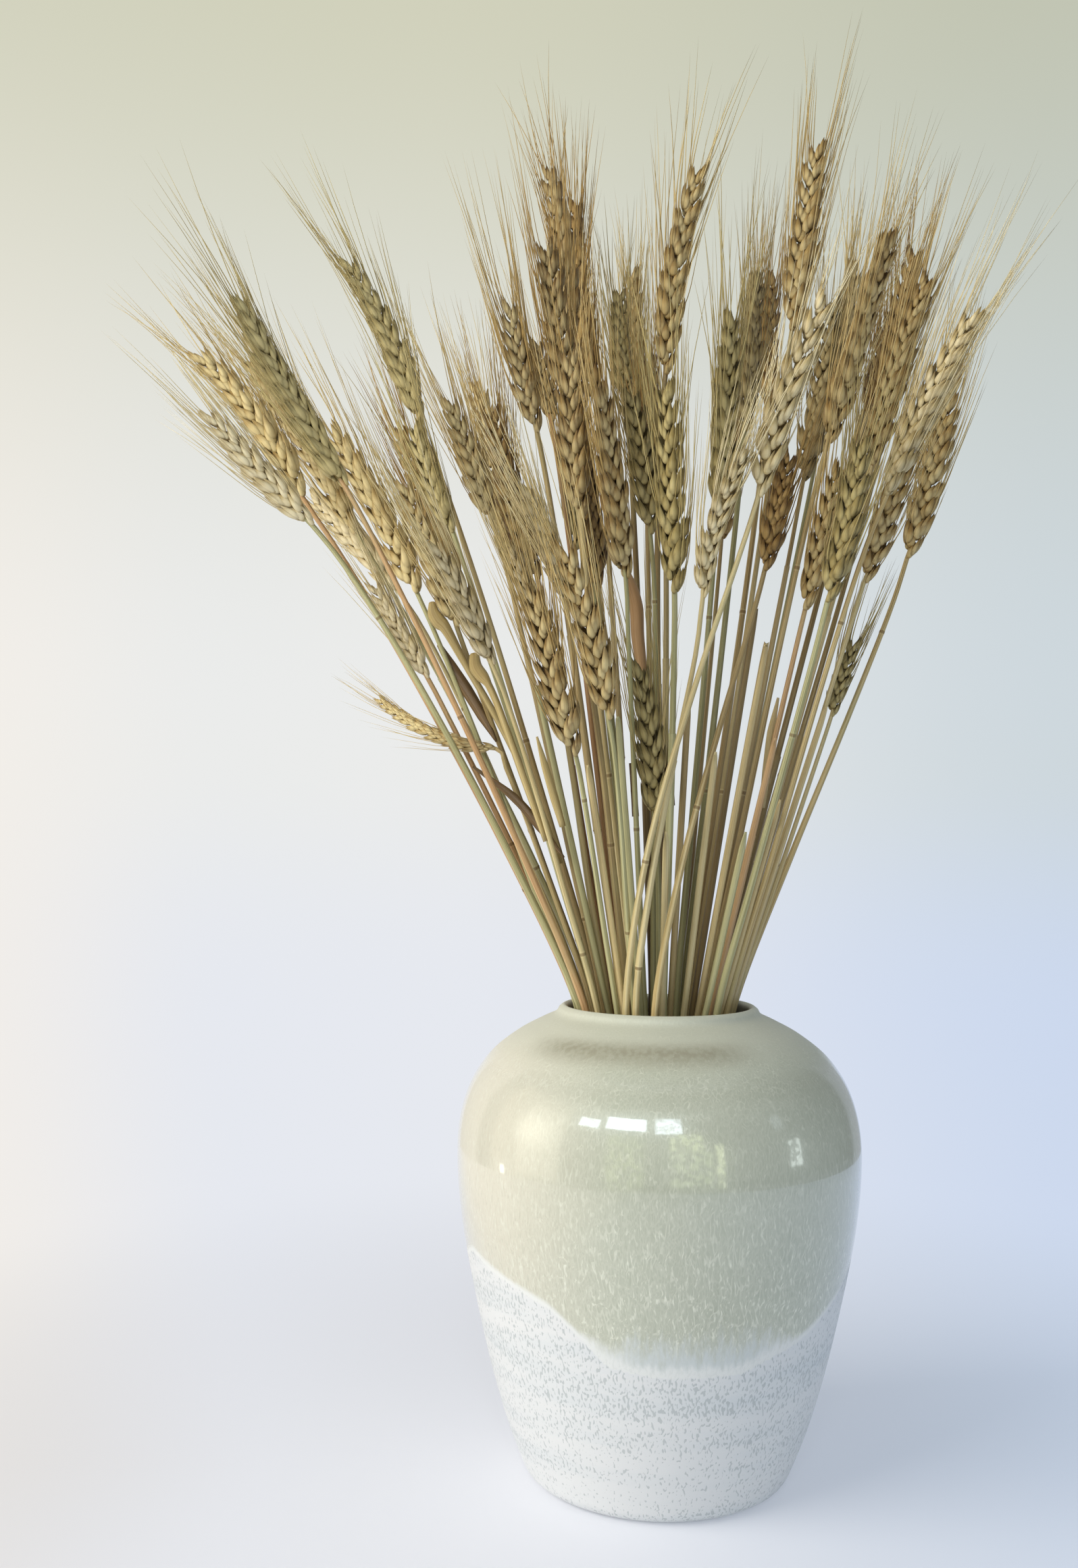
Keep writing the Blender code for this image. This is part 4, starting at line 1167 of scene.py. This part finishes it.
studio = {
    "floorRadius": 1.5,
    "bend": 1.1,
    "bendSteps": 12,
    "wall": 3.0,
    "sides": 64,
    "drop": 0.0004,  # how far the floor lies under the vase
    # paper, lit, at the left, the middle and the right, with painted shade that makes it darker and bluer at
    # the right; the painted light that it glows with there near the vase, softening the vase's shadow, and
    # further off, high up and near the floor
    "paperWithPaintedLight": linear(((212, 210, 209), (213, 214, 218), (177, 183, 194))),
    "nearGlow": ((0.13, 0.13, 0.135), (0.20, 0.205, 0.22), (0.26, 0.31, 0.38)),
    "fade": (0.1, 0.64),  # distance from the vase at which the paper turns to its painted glow
    "glow": linear(((243, 239, 233), (235, 236, 235), (205, 215, 221))),
    "lowGlow": linear(((242, 238, 233), (230, 233, 240), (203, 216, 238))),
    "topGlow": linear(((208, 208, 186), (192, 195, 176))),  # to the left and in the shade at the right
    "world": (0.86, 0.92, 1.0),
    "worldStrength": 0.44,
}


def paperMaterial():  # lit paper near the vase, with painted light that softens the shadows there, that turns further off into a painted glow, lighter and warmer at the left, cooler and darker at the right and high up
    shine = {"Roughness": 0.9, "Specular IOR Level": 0.0, "Emission Strength": 1.0}
    material, graph, shader = newMaterial("paperWithPaintedLight", shine)
    place = graph.place()
    x, y, height = graph.parts(place)
    far = hypotenuse(x, y).over(*studio["fade"])
    bearing = x / (y.math("MAXIMUM", 0.0) + 0.8)
    left, right = bearing.over(-0.42, -0.22), bearing.over(-0.1, 0.36)

    def across(colours):
        return graph.layered(colours[0], (left, colours[1]), (right, colours[2]))

    glow = graph.layered(across(studio["lowGlow"]), (height.over(0.0, 0.45), across(studio["glow"])),
                         (height.over(0.55, 2.3), graph.mix(right, *studio["topGlow"])),
                         (graph.noise(place, 3) * 0.04, (0.75, 0.75, 0.75)))
    plug(graph, shader, Base_Color=graph.mix(far, across(studio["paperWithPaintedLight"]), (0.0, 0.0, 0.0)),
         Emission_Color=graph.mix(far, across(studio["nearGlow"]), glow))
    return material


def makeRoom():  # a round sweep of pale paper, so that it is behind the vase from every side; its wall glows with painted light and casts neither shadow nor light on the rest
    inner, bend, sides = studio["floorRadius"], studio["bend"], studio["sides"]
    angles = [math.pi / 2 * step / studio["bendSteps"] for step in range(1, studio["bendSteps"] + 1)]
    profile = [(inner, 0)] + [(inner + bend * math.sin(a), bend * (1 - math.cos(a))) for a in angles]
    profile.append((inner + bend, studio["wall"]))
    points = [(radius * c, radius * s, height - studio["drop"]) for radius, height in profile
              for _, c, s in circle(sides)]
    paperWithPaintedLight = paperMaterial()
    wall = addMesh("paperWall", points, [face[::-1] for face in ringFaces(len(profile), sides)], [paperWithPaintedLight])
    wall.visible_shadow = False
    wall.visible_diffuse = False
    floor = addMesh("paperFloor", points[:sides], [tuple(range(sides))], [paperWithPaintedLight])


room = {  # painted reflections: what the glaze mirrors, by azimuth from the front and elevation in degrees, seen from the vase
    "radius": 0.8,
    "eyeHeight": 0.157,
    "edges": (-119, 128, -12, 62),
    "dark": (0.16, 0.17, 0.155),
    "warmPaper": (0.72, 0.69, 0.62),
    "coolPaper": (0.40, 0.43, 0.46),
    # azimuths, elevations, softness, glow, how broken up it is
    "panes": [
        ((-50, -38), (24.5, 31), 0.6, (8.5, 9.8, 10.8), 0.3),
        ((-34, -11), (25.5, 35), 0.6, (9.5, 10.8, 12.0), 0.2),
        ((-6, 9), (24, 36.5), 0.8, (9.0, 10.2, 11.4), 0.5),
        ((-62, 28), (36, 40), 2.0, (0.6, 0.65, 0.6), 0.0),
        ((-31, -12), (-9, 21), 3.0, (1.3, 1.5, 0.7), 0.9),
        ((2, 20), (12, 23.5), 1.5, (3.0, 3.4, 1.8), 0.8),
        ((2, 24), (-8, 12), 2.0, (1.8, 2.1, 1.2), 0.9),
        ((25.5, 30), (-9, 16), 0.8, (4.0, 4.4, 2.6), 0.7),
        ((63, 69), (18, 27), 2.0, (1.3, 1.5, 1.6), 0.5),
        ((68, 76), (-3, 10), 1.0, (4.5, 5.0, 4.8), 0.8),
        ((-104, -57), (-12, 37), 2.5, (0.60, 0.54, 0.42), 0.0),
        ((-84, -57), (-9, 29), 1.8, (1.5, 1.4, 1.15), 0.0),
        ((-86, -64), (6, 20), 7.0, (2.9, 2.8, 2.3), 0.0),
        ((-96.5, -93), (-11, -8), 0.8, (8.0, 8.0, 7.0), 0.0),
    ],
    "band": (-150, 150, 0.002, 1.902),  # first and last azimuth of the glow, its foot and top
    "grid": (14, 72),
}


def roomMaterial():
    shine = {"Base Color": (0, 0, 0, 1), "Roughness": 1.0, "Specular IOR Level": 0.0,
             "Emission Strength": 1.0}
    material, graph, shader = newMaterial("roomGlow", shine)
    place = graph.place()
    x, y, z = graph.parts(place)
    azimuth = x.math("ARCTAN2", y * -1) * math.degrees(1)
    elevation = ((z - room["eyeHeight"]) / room["radius"]).math("ARCTANGENT") * math.degrees(1)
    flecks = graph.noise(place, 22, 3)

    def inside(value, low, high, soft):
        return value.over(low - soft, low + soft) * value.under(high - soft, high + soft)

    left, right, bottom, top = room["edges"]
    # a rounded frame: the further to the side, the lower the ceiling
    ceiling = elevation + (abs(azimuth) / 128) ** 4.0 * 26
    dark = inside(azimuth, left, right, 3) * inside(ceiling, bottom, top, 3)
    colour = graph.layered(room["warmPaper"], (azimuth.over(-60, 110), room["coolPaper"]),
                           (dark, room["dark"]))
    for (west, east), (low, high), soft, glow, broken in room["panes"]:
        mask = inside(azimuth, west, east, soft) * inside(elevation, low, high, soft)
        if broken:
            mask = mask * (1 - broken * flecks.under(0.42, 0.58))
        colour = graph.mix(mask, colour, glow)
    plug(graph, shader, Emission_Color=colour)
    return material


def makeRoomGlow():  # a band of painted reflections round the front and sides that only shiny surfaces see
    radius, (first, last, foot, top), (rows, sides) = room["radius"], room["band"], room["grid"]
    turns = [math.radians(first + (last - first) * s / sides) for s in range(sides + 1)]
    points = [(radius * math.sin(a), -radius * math.cos(a), foot + (top - foot) * r / rows)
              for r in range(rows + 1) for a in turns]
    wide = sides + 1
    corners = [r * wide + s for r in range(rows) for s in range(sides)]
    faces = [(a, a + wide, a + wide + 1, a + 1) for a in corners]
    band = addMesh("roomGlow", points, faces, [roomMaterial()])
    band.visible_camera = False
    band.visible_diffuse = False
    band.visible_shadow = False
    band.visible_transmission = False


lamps = {  # place, what it shines at, size, power and colour
    "window": ((-1.7, -0.9, 1.2), (0, 0, 0.35), (1.6, 1.5), 40, (1.0, 0.95, 0.88)),
    "pane": ((-0.15, -1.9, 1.3), (0, 0, 0.25), (0.5, 0.22), 5, (0.9, 0.96, 1.0)),
}


def makeLights():
    world = bpy.data.worlds.new("softWorld")
    bpy.context.scene.world = world
    world.use_nodes = True
    background = world.node_tree.nodes["Background"]
    background.inputs["Color"].default_value = (*studio["world"], 1)
    background.inputs["Strength"].default_value = studio["worldStrength"]
    for name, (place, aim, size, power, colour) in lamps.items():
        light = bpy.data.lights.new(name, "AREA")
        light.shape = "RECTANGLE"
        light.size, light.size_y = size
        light.energy = power
        light.color = colour
        lamp = newObject(name, light)
        lamp.location = place
        lamp.visible_glossy = False
        lamp.rotation_euler = (Vector(aim) - Vector(place)).to_track_quat("-Z", "Y").to_euler()
    bpy.context.scene.view_settings.view_transform = "Standard"


view = {
    "place": (-0.0588, -0.726, 0.3078),
    "tilt": 91.661,
    "roll": 0.426,
    "film": 36,
    "focus": 2200 / 2322,  # the photo's focal length in pixels over its height
}


def makeCamera():
    data = bpy.data.cameras.new("camera")
    data.sensor_fit = "VERTICAL"
    data.sensor_height = view["film"]
    data.lens = view["focus"] * view["film"]
    data.clip_start = 0.01
    camera = newObject("camera", data)
    camera.matrix_world = (Matrix.Translation(view["place"])
                           @ Matrix.Rotation(math.radians(view["tilt"]), 4, "X")
                           @ Matrix.Rotation(math.radians(view["roll"]), 4, "Z"))
    bpy.context.scene.camera = camera


makeRoom()
makeRoomGlow()
makeLights()
makeCamera()
print("room, lights and camera set")
